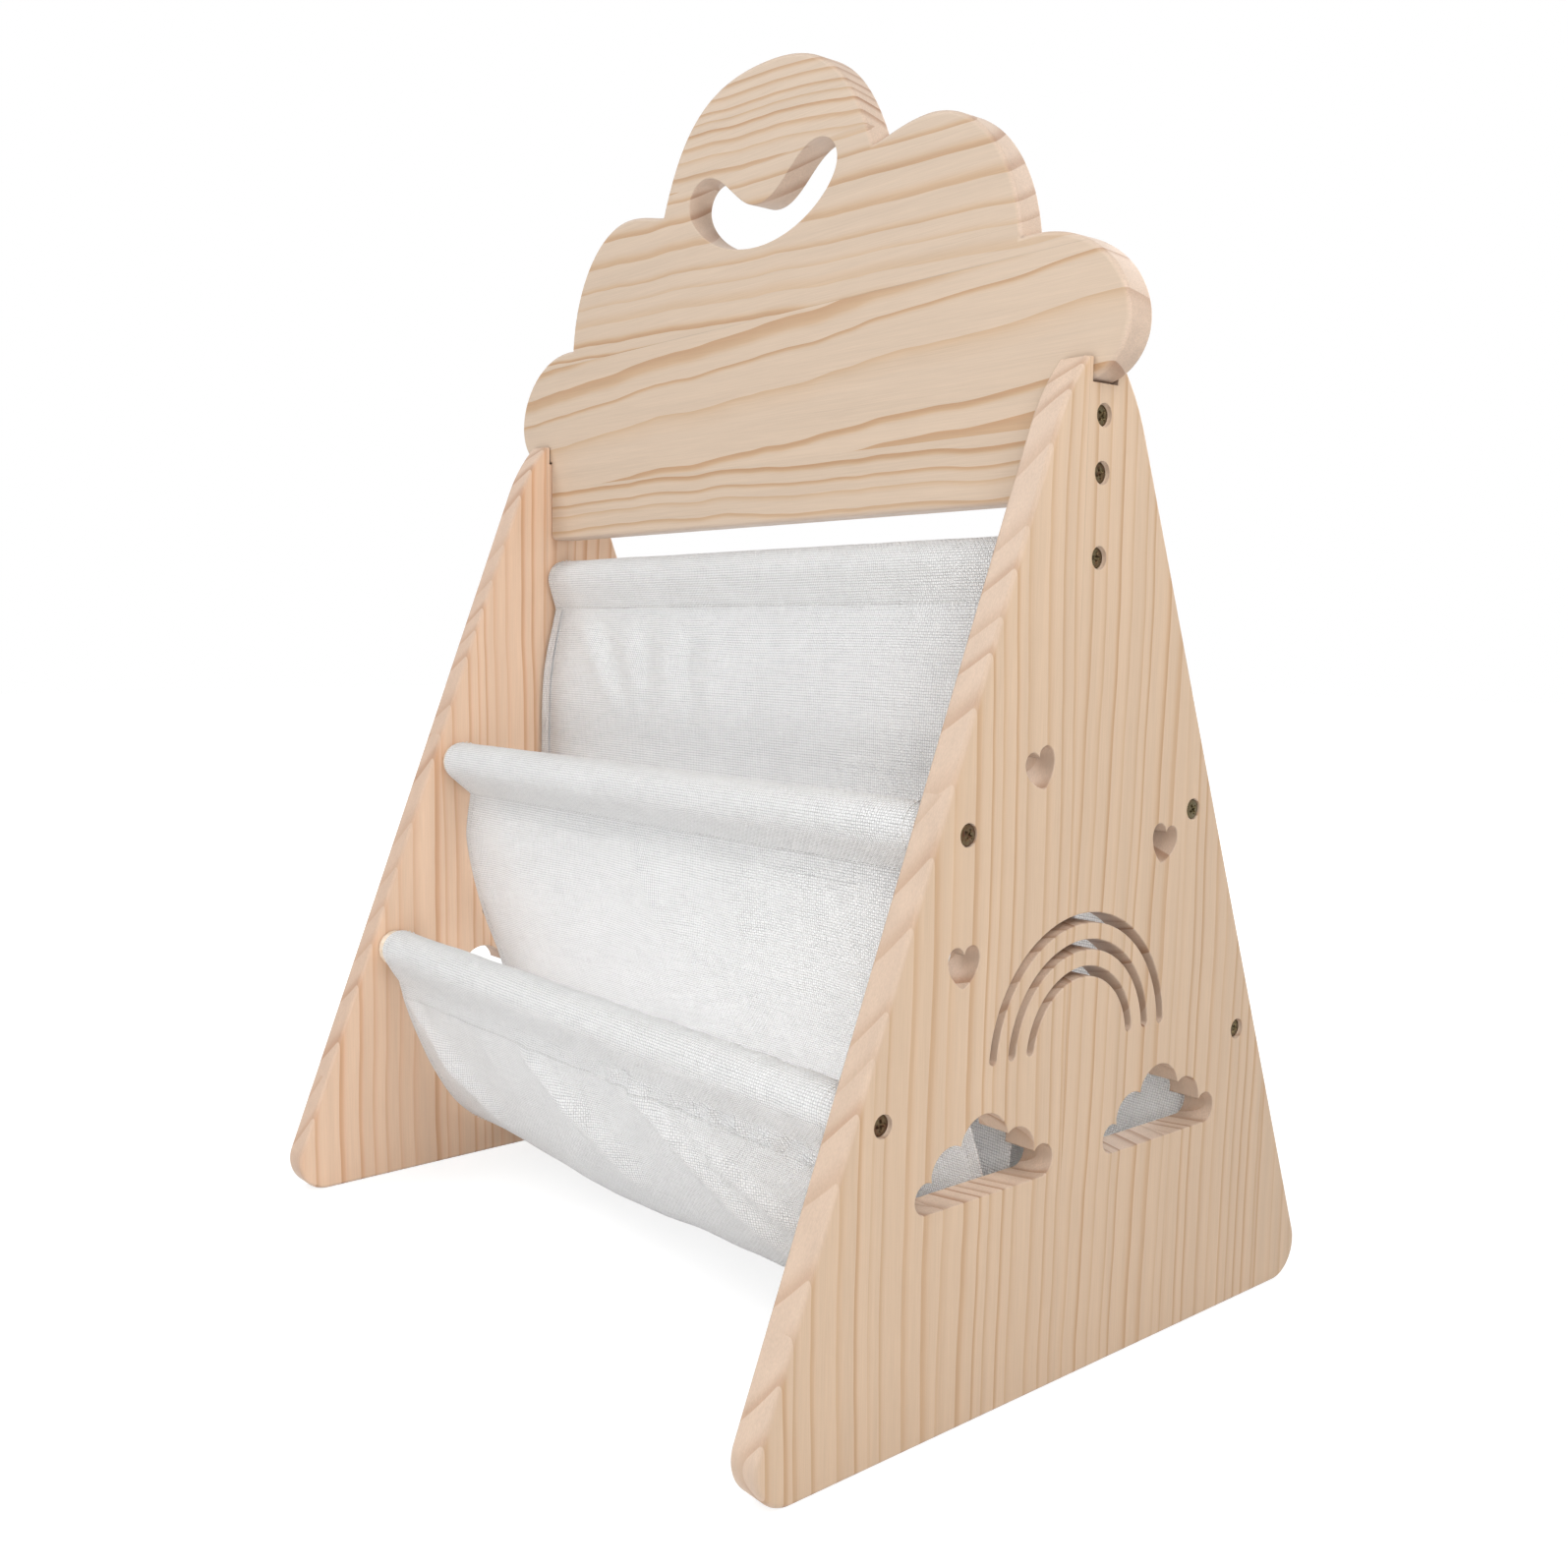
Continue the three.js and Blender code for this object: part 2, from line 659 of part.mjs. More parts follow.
// Lower sling: half of its line, from the seam under the low front rod to the
// middle, as shares of the seam's distance from the middle and of its height
// above it
const lowerSlingHalfShares = [
  [1, 1],
  [0.967, 0.864],
  [0.93, 0.738],
  [0.884, 0.61],
  [0.833, 0.483],
  [0.757, 0.33],
  [0.674, 0.203],
  [0.565, 0.102],
  [0.435, 0.042],
  [0.22, 0.008],
];

// How far the lower sling hangs below or above its mean line along X, as
// shares of its dip, from the left end to the right
const lowerSlingDipShares = [0.1, 0, -0.15, -0.55, -0.3, 0.15, 0.45, 0.65, 0.7];
function lowerSlingSection(x) {
  const along = (x / clothWidth + 0.5) * (lowerSlingDipShares.length - 1);
  const left = Math.min(Math.floor(along), lowerSlingDipShares.length - 2);
  const blend = THREE.MathUtils.smoothstep(along - left, 0, 1);
  const dip = THREE.MathUtils.lerp(lowerSlingDipShares[left], lowerSlingDipShares[left + 1], blend);
  const drop = lowSeamZ - lowerSlingBottom - dip * lowerSlingDip;
  const middle = new THREE.Vector2(0, lowSeamZ - drop);
  const front = shareLine(lowerSlingHalfShares, middle, new THREE.Vector2(-lowSeamY, lowSeamZ));
  const back = front.map((point) => new THREE.Vector2(-point.x, point.y)).reverse();
  const smooth = smoothLine([...front, middle, ...back], lowerSlingSteps);
  const line = ripple(smooth, x, lowerSlingRipple, lowerSlingWaves, lowerSlingLagShare);
  const frontLoop = hemLoop(-lowRodY, lowRodZ, lowSeamInset, lowSeamDrop).slice(1);
  const backLoop = frontLoop.map((point) => new THREE.Vector2(-point.x, point.y));
  return [...frontLoop.reverse(), ...line, ...backLoop];
}

// A named mesh with its own finish
function piece(name, geometry, finish) {
  const mesh = new THREE.Mesh(geometry, new THREE.MeshStandardMaterial(finishes[finish]));
  mesh.name = name;
  return mesh;
}

// The two side panels are one part used twice, each with its outer face out
function addSides(shelf) {
  const geometry = sidePanelGeometry();
  for (const [name, side] of [['left_side_panel', -1], ['right_side_panel', 1]]) {
    const sideGroup = new THREE.Group();
    sideGroup.rotation.z = side < 0 ? Math.PI : 0;
    const panel = piece(name, geometry.clone(), 'pine');
    panel.position.x = (outerWidth - boardThickness) / 2;
    sideGroup.add(panel);
    addScrews(sideGroup, name.split('_')[0], side);
    shelf.add(sideGroup);
  }
}

// The screws of one side, in the frame of its panel. A turned panel swaps
// front and back, so its screws are named by where they end up.
function addScrews(sideGroup, sideName, side) {
  for (const { name, y, z, sink } of screwPlaces) {
    const seat = outerWidth / 2 - sink - screwHeadHeight;
    const reach = seat - innerWidth / 2 + screwGrip;
    const [tier, face] = name.split('_');
    const swapped = { front: 'back', back: 'front' }[face];
    const label = side < 0 && swapped ? `${tier}_${swapped}` : name;
    const screw = piece(`${sideName}_${label}_screw`, screwGeometry(reach), 'screw');
    screw.position.set(seat, y, z);
    sideGroup.add(screw);
  }
}

function addRods(shelf) {
  const places = [
    ['top_rod', 0, topRodZ],
    ['front_mid_rod', -midRodY, midRodZ],
    ['back_mid_rod', midRodY, midRodZ],
    ['front_low_rod', -lowRodY, lowRodZ],
    ['back_low_rod', lowRodY, lowRodZ],
  ];
  for (const [name, y, z] of places) {
    const rod = piece(name, rodGeometry(), 'rod');
    rod.position.set(0, y, z);
    shelf.add(rod);
  }
}

function addCloth(shelf) {
  const sleeve = piece('top_rod_sleeve', topSleeveGeometry(), 'cloth');
  sleeve.position.z = topRodZ;
  const front = piece('front_pocket_sling', sheetGeometry(pocketSection), 'cloth');
  const back = piece('back_pocket_sling', sheetGeometry(pocketSection), 'cloth');
  back.rotation.z = Math.PI;
  shelf.add(sleeve, front, back);
  shelf.add(piece('lower_sling', sheetGeometry(lowerSlingSection), 'cloth'));
}

const shelf = new THREE.Group();
addSides(shelf);
shelf.add(piece('cloud_board', cloudBoardGeometry(), 'pine'));
addRods(shelf);
addCloth(shelf);

export default shelf;
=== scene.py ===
# Sling bookshelf for a child's room, dressed for a studio picture. Metres, in
# the frame of the CAD model: X runs along the rods, Y from front to back and
# Z up, with the origin on the floor under the middle of the shelf.

import math

import bpy
import numpy as np
from mathutils import Matrix, Vector
from mathutils.geometry import delaunay_2d_cdt


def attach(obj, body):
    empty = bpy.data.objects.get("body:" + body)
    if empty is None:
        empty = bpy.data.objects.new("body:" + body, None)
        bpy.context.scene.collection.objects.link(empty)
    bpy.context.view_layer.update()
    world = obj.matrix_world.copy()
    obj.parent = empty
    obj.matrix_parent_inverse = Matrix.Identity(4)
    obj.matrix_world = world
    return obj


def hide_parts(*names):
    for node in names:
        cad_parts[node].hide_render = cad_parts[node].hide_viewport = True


MM = 0.001
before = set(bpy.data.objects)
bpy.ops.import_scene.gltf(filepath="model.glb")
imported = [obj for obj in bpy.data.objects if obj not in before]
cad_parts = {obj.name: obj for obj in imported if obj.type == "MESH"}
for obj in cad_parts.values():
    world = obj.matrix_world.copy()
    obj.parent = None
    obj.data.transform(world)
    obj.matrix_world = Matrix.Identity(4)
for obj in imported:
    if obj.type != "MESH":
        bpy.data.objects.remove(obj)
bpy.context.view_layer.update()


def add_object(name, data):
    obj = bpy.data.objects.new(name, data)
    bpy.context.collection.objects.link(obj)
    return obj


# Camera at the photograph's viewpoint

def add_camera():
    data = bpy.data.cameras.new("camera")
    data.lens = 34.446
    data.sensor_width = 36
    data.shift_x = 0.0647
    data.shift_y = 0.0145
    camera = add_object("camera", data)
    turn = (
        Matrix.Rotation(math.radians(52.193), 4, "Z")
        @ Matrix.Rotation(math.radians(83.257), 4, "X")
        @ Matrix.Rotation(math.radians(0.332), 4, "Z")
    )
    camera.matrix_world = Matrix.Translation((0.687638, -0.595471, 0.373397)) @ turn
    bpy.context.scene.camera = camera


# Arithmetic on shader sockets

def math_node(operation, swapped=False):
    """An operator or method of Field that adds one Math node."""
    def act(self, *others):
        return self.join(operation, *((*others, self) if swapped else (self, *others)))
    return act


class Field:
    """A number that varies over a surface; arithmetic on it adds Math nodes."""

    def __init__(self, socket):
        self.socket = socket

    def join(self, operation, *values, clamp=False):
        node = add_node(self.socket.id_data, "Math", *values)
        node.operation = operation
        node.use_clamp = clamp
        return Field(node.outputs[0])

    __add__ = math_node("ADD")
    __radd__ = math_node("ADD", swapped=True)
    __sub__ = math_node("SUBTRACT")
    __rsub__ = math_node("SUBTRACT", swapped=True)
    __mul__ = math_node("MULTIPLY")
    __rmul__ = math_node("MULTIPLY", swapped=True)
    __truediv__ = math_node("DIVIDE")
    __abs__ = math_node("ABSOLUTE")
    root = math_node("SQRT")
    wave = math_node("SINE")
    part = math_node("FRACT")

    def clamped(self):
        return self.join("ADD", self, 0, clamp=True)

    def between(self, low, high, smooth=True):
        """0 below low, 1 above high and a slope between them."""
        node = add_node(self.socket.id_data, "MapRange", self, low, high, 0, 1)
        node.interpolation_type = "SMOOTHSTEP" if smooth else "LINEAR"
        return Field(node.outputs[0])


def put(value, slot):
    """Feed a slot with a field, another node's socket, a colour or a number."""
    if isinstance(value, Field):
        value = value.socket
    if isinstance(value, bpy.types.NodeSocket):
        slot.id_data.links.new(value, slot)
    else:
        slot.default_value = (*value, 1) if isinstance(value, tuple) else value


def feed(node, values):
    """Feed the slots that a node has under these names or numbers."""
    for name, value in values.items():
        put(value, node.inputs[name])


def add_node(tree, kind, *values):
    """A shader node with values for its first slots."""
    node = tree.nodes.new("ShaderNode" + kind)
    for slot, value in zip(node.inputs, values):
        put(value, slot)
    return node


class Surface:
    """A material with one Principled shader, fed by fields and colours."""

    def __init__(self, name):
        self.material = bpy.data.materials.new(name)
        self.material.use_nodes = True
        self.tree = self.material.node_tree
        self.shader = self.tree.nodes["Principled BSDF"]
        coordinates = add_node(self.tree, "TexCoord").outputs
        self.place = self.split(coordinates["Object"], 1 / MM)
        self.facing = self.split(coordinates["Normal"])

    def split(self, socket, scale=1):
        fields = [Field(part) for part in add_node(self.tree, "SeparateXYZ", socket).outputs]
        return [field * scale for field in fields] if scale != 1 else fields

    def noise(self, *values, detail=2, rough=0.5):
        """Noise between -1 and 1 at up to three coordinates."""
        place = add_node(self.tree, "CombineXYZ", *values)
        node = add_node(self.tree, "TexNoise", place.outputs[0])
        node.normalize = False
        feed(node, {"Scale": 1, "Detail": detail, "Roughness": rough})
        return Field(node.outputs["Fac"])

    def table(self, value, edges, rows):
        """Three numbers from 0 to 1 that change at each edge of a value."""
        low, high = edges[0], edges[-1]
        node = add_node(self.tree, "ValToRGB", value.between(low, high, smooth=False))
        node.color_ramp.interpolation = "CONSTANT"
        ramp = node.color_ramp.elements
        for index, row in enumerate(rows):
            position = (edges[index] - low) / (high - low)
            stop = ramp[index] if index < len(ramp) else ramp.new(position)
            stop.position = position
            stop.color = (*row, 1)
        return self.split(node.outputs[0])

    def blend(self, factor, first, second):
        """A colour between two others; each is a socket or a linear colour."""
        node = add_node(self.tree, "Mix")
        node.data_type = "RGBA"
        feed(node, {0: factor, 6: first, 7: second})
        return node.outputs[2]

    def shade(self, colour, factor):
        """A colour made lighter or darker by a factor."""
        node = add_node(self.tree, "VectorMath", colour)
        node.operation = "SCALE"
        feed(node, {"Scale": factor})
        return node.outputs[0]

    def finish(self, colour, rough, shine=0.5):
        feed(self.shader, {
            "Base Color": colour, "Roughness": rough, "Specular IOR Level": shine,
        })

    def let_through(self, share, colour):
        """Some of the light falls through, as it does through thin cloth."""
        glow = add_node(self.tree, "BsdfTranslucent", colour)
        mix = add_node(self.tree, "MixShader", share, self.shader.outputs[0], glow.outputs[0])
        feed(self.tree.nodes["Material Output"], {"Surface": mix.outputs[0]})

    def relief(self, height, distance):
        node = add_node(self.tree, "Bump")
        feed(node, {"Distance": distance, "Strength": 1, "Height": height})
        feed(self.shader, {"Normal": node.outputs[0]})


def linear(red, green, blue):
    """A colour read off a picture, from 0 to 255, as linear light."""
    def one(value):
        value /= 255
        return value / 12.92 if value <= 0.04045 else ((value + 0.055) / 1.055) ** 2.4
    return one(red), one(green), one(blue)


# Pine: growth rings round a far pith, one pith for each glued stave

# Colours of early, middle and late wood and of the edges, whose colour is their
# own pinker tone and, on the side panels, also painted shade that makes them
# darker than the faces; at the ends of the grain, of early and late wood
RIGHT_WOOD = [(212, 185, 158), (206, 176, 146), (191, 153, 117), (188, 168, 154)]
# The left panel is the same pine: its faces are painted lighter and warmer as painted bounce
# light, and its edges darker as painted shade
LEFT_WOOD = [(227, 195, 168), (222, 183, 152), (206, 160, 125), (178, 153, 137)]
CLOUD_WOOD = [(204, 183, 162), (198, 170, 141), (180, 142, 107), (205, 187, 175)]
ROD_WOOD = [(240, 229, 213), (234, 218, 197), (222, 198, 172), (234, 218, 197)]
END_WOOD = [(208, 184, 164), (158, 116, 88)]

# A board's staves: their edges across it, and the numbers of each for pine
PANEL_STAVES = [-276, -188, -100, -12, 76, 164, 252], [
    (0.95, 0.33, 0.50, 0.26, 0.5, 0.5), (0.99, 0.32, 0.45, 0.28, 0.49, 0.5),
    (1.0, 0.36, 0.50, 0.24, 0.5, 0.5), (0.04, 0.34, 0.52, 0.26, 0.57, 0.5),
    (0.98, 0.35, 0.56, 0.23, 0.53, 0.5), (0.02, 0.34, 0.50, 0.25, 0.5, 0.5),
]
CLOUD_STAVES = [387, 470, 553, 640, 727], [
    (0.1, 0.38, 0.36, 0.28, 0.5, 0.5), (0.14, 0.40, 0.56, 0.68, 0.7, 0.5),
    (0.9, 0.37, 0.5, 0.34, 0.38, 0.5), (0.12, 0.36, 0.54, 0.21, 0.16, 0.5),
]
ROD_STAVES = [-300, 300], [(0.5, 0.3, 0.5, 0.25, 0.5, 0.5)]
PITH_SPAN = 480
LEAN_SPAN = 0.3
GLUE_LINE = 0.5
LATE_WOOD = 1.8


def pine(name, colours, axes, core, staves, ring, seed, wavy=1.0):
    """axes are those along the grain, across the staves and in depth; core is
    the place of the board's middle plane in depth. A stave has six numbers
    from 0 to 1: the pith's place across from the stave's start and in depth
    from the core, the stave's tint, the rings' width, and how the pith and the
    rings lean along the grain."""
    surface = Surface(name)
    run, side, deep = [surface.place[axis] for axis in axes]
    along, across, _ = axes
    edges, staves = staves
    pith_side, pith_deep, tint = surface.table(side, edges, [stave[:3] for stave in staves])
    width, lean, taper = surface.table(side, edges, [stave[3:] for stave in staves])
    span = edges[-1] - edges[0]
    starts = [((edge - edges[0]) / span,) * 3 for edge in edges[:-1]]
    start = surface.table(side, edges, starts)[0] * span + edges[0]
    drift = surface.noise(run / 300, start / 50 + seed, detail=1) * 5.0
    wander = surface.noise(run / 75, side / 160, deep / 90 + seed) * wavy
    off_side = side - start - (pith_side - 0.5) * PITH_SPAN + drift + wander
    off_side = off_side - (lean - 0.5) * run * LEAN_SPAN
    off_deep = deep - core - (pith_deep - 0.5) * PITH_SPAN
    radius = (off_side * off_side + off_deep * off_deep).root()
    uneven = surface.noise(radius / 27, start / 17 + seed, detail=1) * 0.8
    spacing = width * ring * 4
    phase = (radius + (taper - 0.5) * run * LEAN_SPAN) / spacing + uneven
    left_over = (1 - phase.part()) * spacing
    late = left_over.between(spacing * 0.32 + LATE_WOOD, 0.4) * left_over.between(0, 0.35)
    year = phase.join("FLOOR", phase)
    strength = surface.noise(year * 0.731, start / 13, seed, detail=0)
    late = late * (0.72 + strength * 0.6).clamped()
    fibre = surface.noise(side * 1.7, deep * 1.7, run * 0.03, detail=3, rough=0.6)
    streak = surface.noise(side * 0.12, deep * 0.12, run * 0.004 + seed)
    early, middle, dark, edge, *ends = [linear(*row) for row in colours + END_WOOD]
    colour = surface.blend(late.between(0, 0.55, smooth=False), early, middle)
    colour = surface.blend(late.between(0.4, 1, smooth=False), colour, dark)
    # Edge colour on faces across the board: own pinker tone, on side panels painted shade
    colour = surface.blend(abs(surface.facing[across]) * 0.55, colour, edge)
    end_grain = abs(surface.facing[along]).between(0.05, 0.9)
    cut = surface.shade(surface.blend(late, *ends), 1 + fibre * 0.1)
    colour = surface.blend(end_grain * 0.85, colour, cut)
    glue = (side - start).between(GLUE_LINE, 0.15)
    glue = glue * (0.6 + surface.noise(run / 130, start / 9 + seed, detail=0)).clamped()
    grain = (1 + fibre * 0.05 + streak * 0.05 + (tint - 0.5) * 0.12) * (1 - glue * 0.3)
    surface.finish(surface.shade(colour, grain), rough=0.5, shine=0.35)
    surface.relief(late * 0.5 + fibre * 0.35 - glue, 0.00004)
    return surface.material


# Woven cotton canvas. Its UV map runs in centimetres along the two threads.

THREAD = 1.5


def near_rods(surface):
    """1 on the sleeves, where a rod stands behind the cloth, 0 elsewhere."""
    _, y, z = surface.place
    nearest = 1000
    for rod_y, rod_z in (TOP_ROD, MID_ROD, LOW_ROD):
        across, up = abs(y) + rod_y, z - rod_z
        nearest = (across * across + up * up).root().join("MINIMUM", nearest)
    return nearest.between(17, 15)


def canvas(name):
    surface = Surface(name)
    u, v, _ = surface.split(add_node(surface.tree, "UVMap").outputs[0], 10)
    warp = (u * (math.pi / THREAD) + surface.noise(u / 9, v / 60, detail=1) * 0.5).wave()
    weft = (v * (math.pi / THREAD) + surface.noise(u / 60, v / 9, 3.0, detail=1) * 0.5).wave()
    over = warp * weft
    bump = abs(over).root()
    slub = surface.noise(u / 1.3, v / 14) + surface.noise(u / 14, v / 1.3, 7.0)
    soft = surface.noise(u / 40, v / 40, 11.0)
    white = linear(254, 254, 254)
    # Painted shade: the gaps between the threads are painted grey
    gap = linear(202, 202, 203)
    filled = near_rods(surface)
    # Painted light: away from the rods the grey gaps are painted fainter, so the walls show
    # lighter than the sleeves
    cover_and_light = (bump * 1.5 + over * 0.24 + slub * 0.14 + (1 - filled) * 0.2).clamped()
    colour = surface.shade(surface.blend(cover_and_light, gap, white), 1 + soft * 0.012)
    surface.finish(colour, rough=0.92, shine=0.2)
    feed(surface.shader, {"Sheen Weight": 0.12, "Sheen Roughness": 0.5})
    surface.relief((bump + over * 0.4 + slub * 0.3) * (0.45 + filled * 0.55), 0.0006)
    surface.let_through(0.42 - filled * 0.34, linear(253, 254, 255))
    return surface.material


def thread(name):
    surface = Surface(name)
    x, y, z = surface.place
    twist = surface.noise(x * 2.2, y * 2.2, z * 2.2)
    dull, bright = linear(222, 222, 221), linear(242, 242, 241)
    surface.finish(surface.blend((0.5 + twist * 0.5).clamped(), dull, bright), rough=0.7)
    surface.relief(twist, 0.0001)
    return surface.material


def bronzed_steel(name):
    surface = Surface(name)
    x, y, z = surface.place
    # The brown share is partly the screws' own tint and partly painted reflection of the wood
    # round them; a slow noise gives each screw its own share
    tint_and_reflection = surface.noise(x * 0.5, y * 0.5, z * 0.5, detail=3)
    tint_and_reflection = tint_and_reflection * 0.7 + surface.noise(x * 0.013, y * 0.03, z * 0.03, detail=0) * 1.3
    olive, brown = linear(104, 93, 66), linear(84, 55, 39)
    colour = surface.blend((0.45 + tint_and_reflection * 0.9).clamped(), olive, brown)
    surface.finish(surface.shade(colour, 1 + tint_and_reflection * 0.2), rough=0.3 + tint_and_reflection * 0.08)
    feed(surface.shader, {"Metallic": 0.9})
    surface.relief(surface.noise(x * 3, y * 3, z * 3), 0.00003)
    return surface.material


def add_piece(name, points, faces, material, turned=False, uv=None):
    """A smooth mesh from points in millimetres; turned is half a turn about Z."""
    points = np.array(points) * MM
    if turned:
        points[:, :2] *= -1
    data = bpy.data.meshes.new(name)
    data.from_pydata(points, [], faces)
    if uv is not None:
        layer = data.uv_layers.new(name="threads")
        loops = np.zeros(len(data.loops), dtype=np.int32)
        data.loops.foreach_get("vertex_index", loops)
        layer.data.foreach_set("uv", np.asarray(uv, np.float32)[loops].ravel())
    data.materials.append(material)
    data.shade_smooth()
    obj = add_object(name, data)
    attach(obj, "root")
    return obj


# Boards: outlines in millimetres, drawn with fine steps, with their edges
# rounded over and the rims of their cut-outs eased

BOARD = 18
EDGE_ROUND = 2.4
RIM_ROUND = 0.7
NOTCH_ROUND = 0.4
PIT_BEVEL = 0.35
OUTER_X = 240.5
SCREW_HOLE = 5.4
HEAD_ROOM = 3.6
COARSE, FINE = 1.3, 0.8


def mirrored(half):
    """A loop from its right half, whose two ends lie on the middle line."""
    return np.vstack([half, half[1:-1][::-1] * (-1, 1)])


def loop_steps(loop):
    """From each point's neighbour before it to the point, and on to the next."""
    return loop - np.roll(loop, 1, axis=0), np.roll(loop, -1, axis=0) - loop


def arc(centre, radius, start, end, step=COARSE):
    count = max(3, math.ceil(abs(end - start) * radius / step))
    turn = np.linspace(start, end, count + 1)
    return np.array(centre) + radius * np.stack([np.cos(turn), np.sin(turn)], 1)


def curve(start, first, second, end, step=COARSE):
    points = np.array((start, first, second, end), float)
    reach = sum(np.hypot(*(b - a)) for a, b in zip(points, points[1:]))
    t = np.linspace(0, 1, max(4, math.ceil(reach / step)) + 1)[:, None]
    a, b, c, d = points
    return a * (1 - t) ** 3 + 3 * b * t * (1 - t) ** 2 + 3 * c * t * t * (1 - t) + d * t ** 3


def box_curve(start, end, handles, step=COARSE):
    """A curve whose handles are shares of the box between its ends."""
    start, end = np.array((start, end), float)
    first, second = (start + (end - start) * np.array(share) for share in handles)
    return curve(start, first, second, end, step)


def distinct(points, least=0.05):
    points = np.asarray(points, float)
    gaps = np.hypot(*(points - np.roll(points, 1, axis=0)).T)
    return points[gaps > least]


def turn_left(loop):
    """The loop run anticlockwise."""
    x, y = loop.T
    area = np.sum(x * np.roll(y, -1) - np.roll(x, -1) * y)
    return loop if area > 0 else loop[::-1]


def shrink(loop, distance):
    """The loop moved to its left by a distance for each point."""
    before, after = loop_steps(loop)
    before /= np.hypot(*before.T)[:, None]
    after /= np.hypot(*after.T)[:, None]
    a = np.stack([-before[:, 1], before[:, 0]], 1)
    b = np.stack([-after[:, 1], after[:, 0]], 1)
    middle = a + b
    middle /= np.maximum(np.sum(middle * a, axis=1), 0.35)[:, None]
    return loop + middle * np.reshape(distance, (-1, 1))


def tapered(loop, radius):
    """A rounding for each point that runs out towards sharp tips of wood."""
    before, after = loop_steps(loop)
    turn = np.arctan2(
        before[:, 0] * after[:, 1] - before[:, 1] * after[:, 0], np.sum(before * after, axis=1)
    )
    radii = np.full(len(loop), radius)
    for tip in np.flatnonzero(turn > math.radians(20)):
        gap = np.hypot(*(loop - loop[tip]).T)
        radii = np.minimum(radii, 0.02 + gap * 0.22)
    return radii


def inside(places, loop):
    """Which of the places lie inside a loop."""
    within = np.zeros(len(places), bool)
    x, y = places.T
    for (ax, ay), (bx, by) in zip(loop, np.roll(loop, -1, axis=0)):
        if ay != by:
            cross = (ay > y) != (by > y)
            within ^= cross & (x < ax + (bx - ax) * (y - ay) / (by - ay))
    return within


def band(a, b):
    """Faces between two rings of as many points."""
    return zip(a, [*a[1:], a[0]], [*b[1:], b[0]], b)


def board_object(name, outline, rounds, holes, pits, place, material):
    """outline and holes are loops in the board's plane; pits are holes from
    the front face as (centre, radius, depth); place(u, v, w) gives a point in
    the frame, where w runs from the back face to the front one."""
    points, faces = [], []
    half = BOARD / 2

    def ring(loop, level):
        first = len(points)
        levels = np.broadcast_to(level, len(loop))
        points.extend(place(u, v, w) for (u, v), w in zip(loop, levels))
        return list(range(first, len(points)))

    caps = {half: [], -half: []}

    def wall(loop, radii, steps):
        """A loop's wall between both faces; its left side is solid wood."""
        rings = []
        for side in (-half, half):
            turns = np.linspace(0, math.pi / 2, steps + 1)[::1 if side > 0 else -1]
            for angle in turns:
                moved = shrink(loop, radii * (1 - math.cos(angle)))
                drop = radii * (1 - math.sin(angle))
                rings.append(ring(moved, side - np.copysign(drop, side)))
            end = rings[0] if side < 0 else rings[-1]
            caps[side].append((shrink(loop, radii), end))
        for a, b in zip(rings, rings[1:]):
            faces.extend(band(a, b))

    wall(outline, rounds, 5)
    for hole in holes:
        hole = turn_left(distinct(hole))[::-1]
        wall(hole, tapered(hole, RIM_ROUND), 2)
    for centre, radius, depth in pits:
        circle = arc(centre, radius, 0, -2 * math.pi, FINE)[:-1]
        rim = shrink(circle, PIT_BEVEL)
        top = ring(rim, half)
        caps[half].append((rim, top))
        edge = ring(circle, half - PIT_BEVEL)
        floor = ring(circle, half - depth)
        faces.extend([*band(floor, edge), *band(edge, top)])
        faces.append(floor[::-1])
    for side, loops in caps.items():
        corners, edges, names = [], [], []
        for loop, at in loops:
            numbers = range(len(names), len(names) + len(at))
            corners.extend(map(Vector, loop))
            names.extend(at)
            edges.extend(zip(numbers, [*numbers[1:], numbers[0]]))
        spots, _, made, given, _, _ = delaunay_2d_cdt(corners, edges, [], 1, 1e-5)
        middles = np.array([np.mean([spots[corner] for corner in face], axis=0) for face in made])
        open_here = np.zeros(len(made), bool)
        for loop, _ in loops[1:]:
            open_here |= inside(middles, loop)
        for face, gone in zip(made, open_here):
            face = [names[given[corner][0]] for corner in face]
            if not gone:
                faces.append(face if side > 0 else face[::-1])
    obj = add_piece(name, points, faces, material)
    even = obj.modifiers.new("even_normals", "WEIGHTED_NORMAL")
    even.weight = 100
    even.keep_sharp = True
    return obj


PANEL_HEIGHT = 500
FOOT_HALF = 217
FOOT_ROUND = 20
SHOULDER = (33, 468)
SHOULDER_ROUND = 104
NOTCH = (9.5, 488.5)


def panel_outline():
    rise = math.atan2(SHOULDER[1], FOOT_HALF - SHOULDER[0])
    foot = FOOT_HALF - FOOT_ROUND / math.tan(rise / 2)
    side = math.pi / 2 - rise
    centre = (
        SHOULDER[0] - SHOULDER_ROUND * math.cos(side),
        SHOULDER[1] - SHOULDER_ROUND * math.sin(side),
    )
    top = math.asin((PANEL_HEIGHT - centre[1]) / SHOULDER_ROUND)
    half = np.vstack([
        arc((foot, FOOT_ROUND), FOOT_ROUND, -math.pi / 2, side),
        arc(centre, SHOULDER_ROUND, side, top),
        [(NOTCH[0], PANEL_HEIGHT), NOTCH],
    ])
    rounds = np.full(len(half), EDGE_ROUND)
    rounds[-2:] = NOTCH_ROUND
    loop = np.vstack([half, half[::-1] * (-1, 1)])
    return loop, np.concatenate([rounds, rounds[::-1]])


HEART = ((20.8, 19.2), [
    (0.18, 0.06, 0.5, 0.38, 0.5, 0.68), (0.5, 0.88, 0.38, 1, 0.25, 1),
    (0.13, 1, 0.02, 0.92, 0, 0.8),
])
HEARTS = [(-36.9, 309.5, 17), (62.1, 266.5, -12), (-86.8, 222, 0)]
RAINBOW_RADII = (65, 51.75, 38.5)
WINDOW_STARTS = (-115, 21)


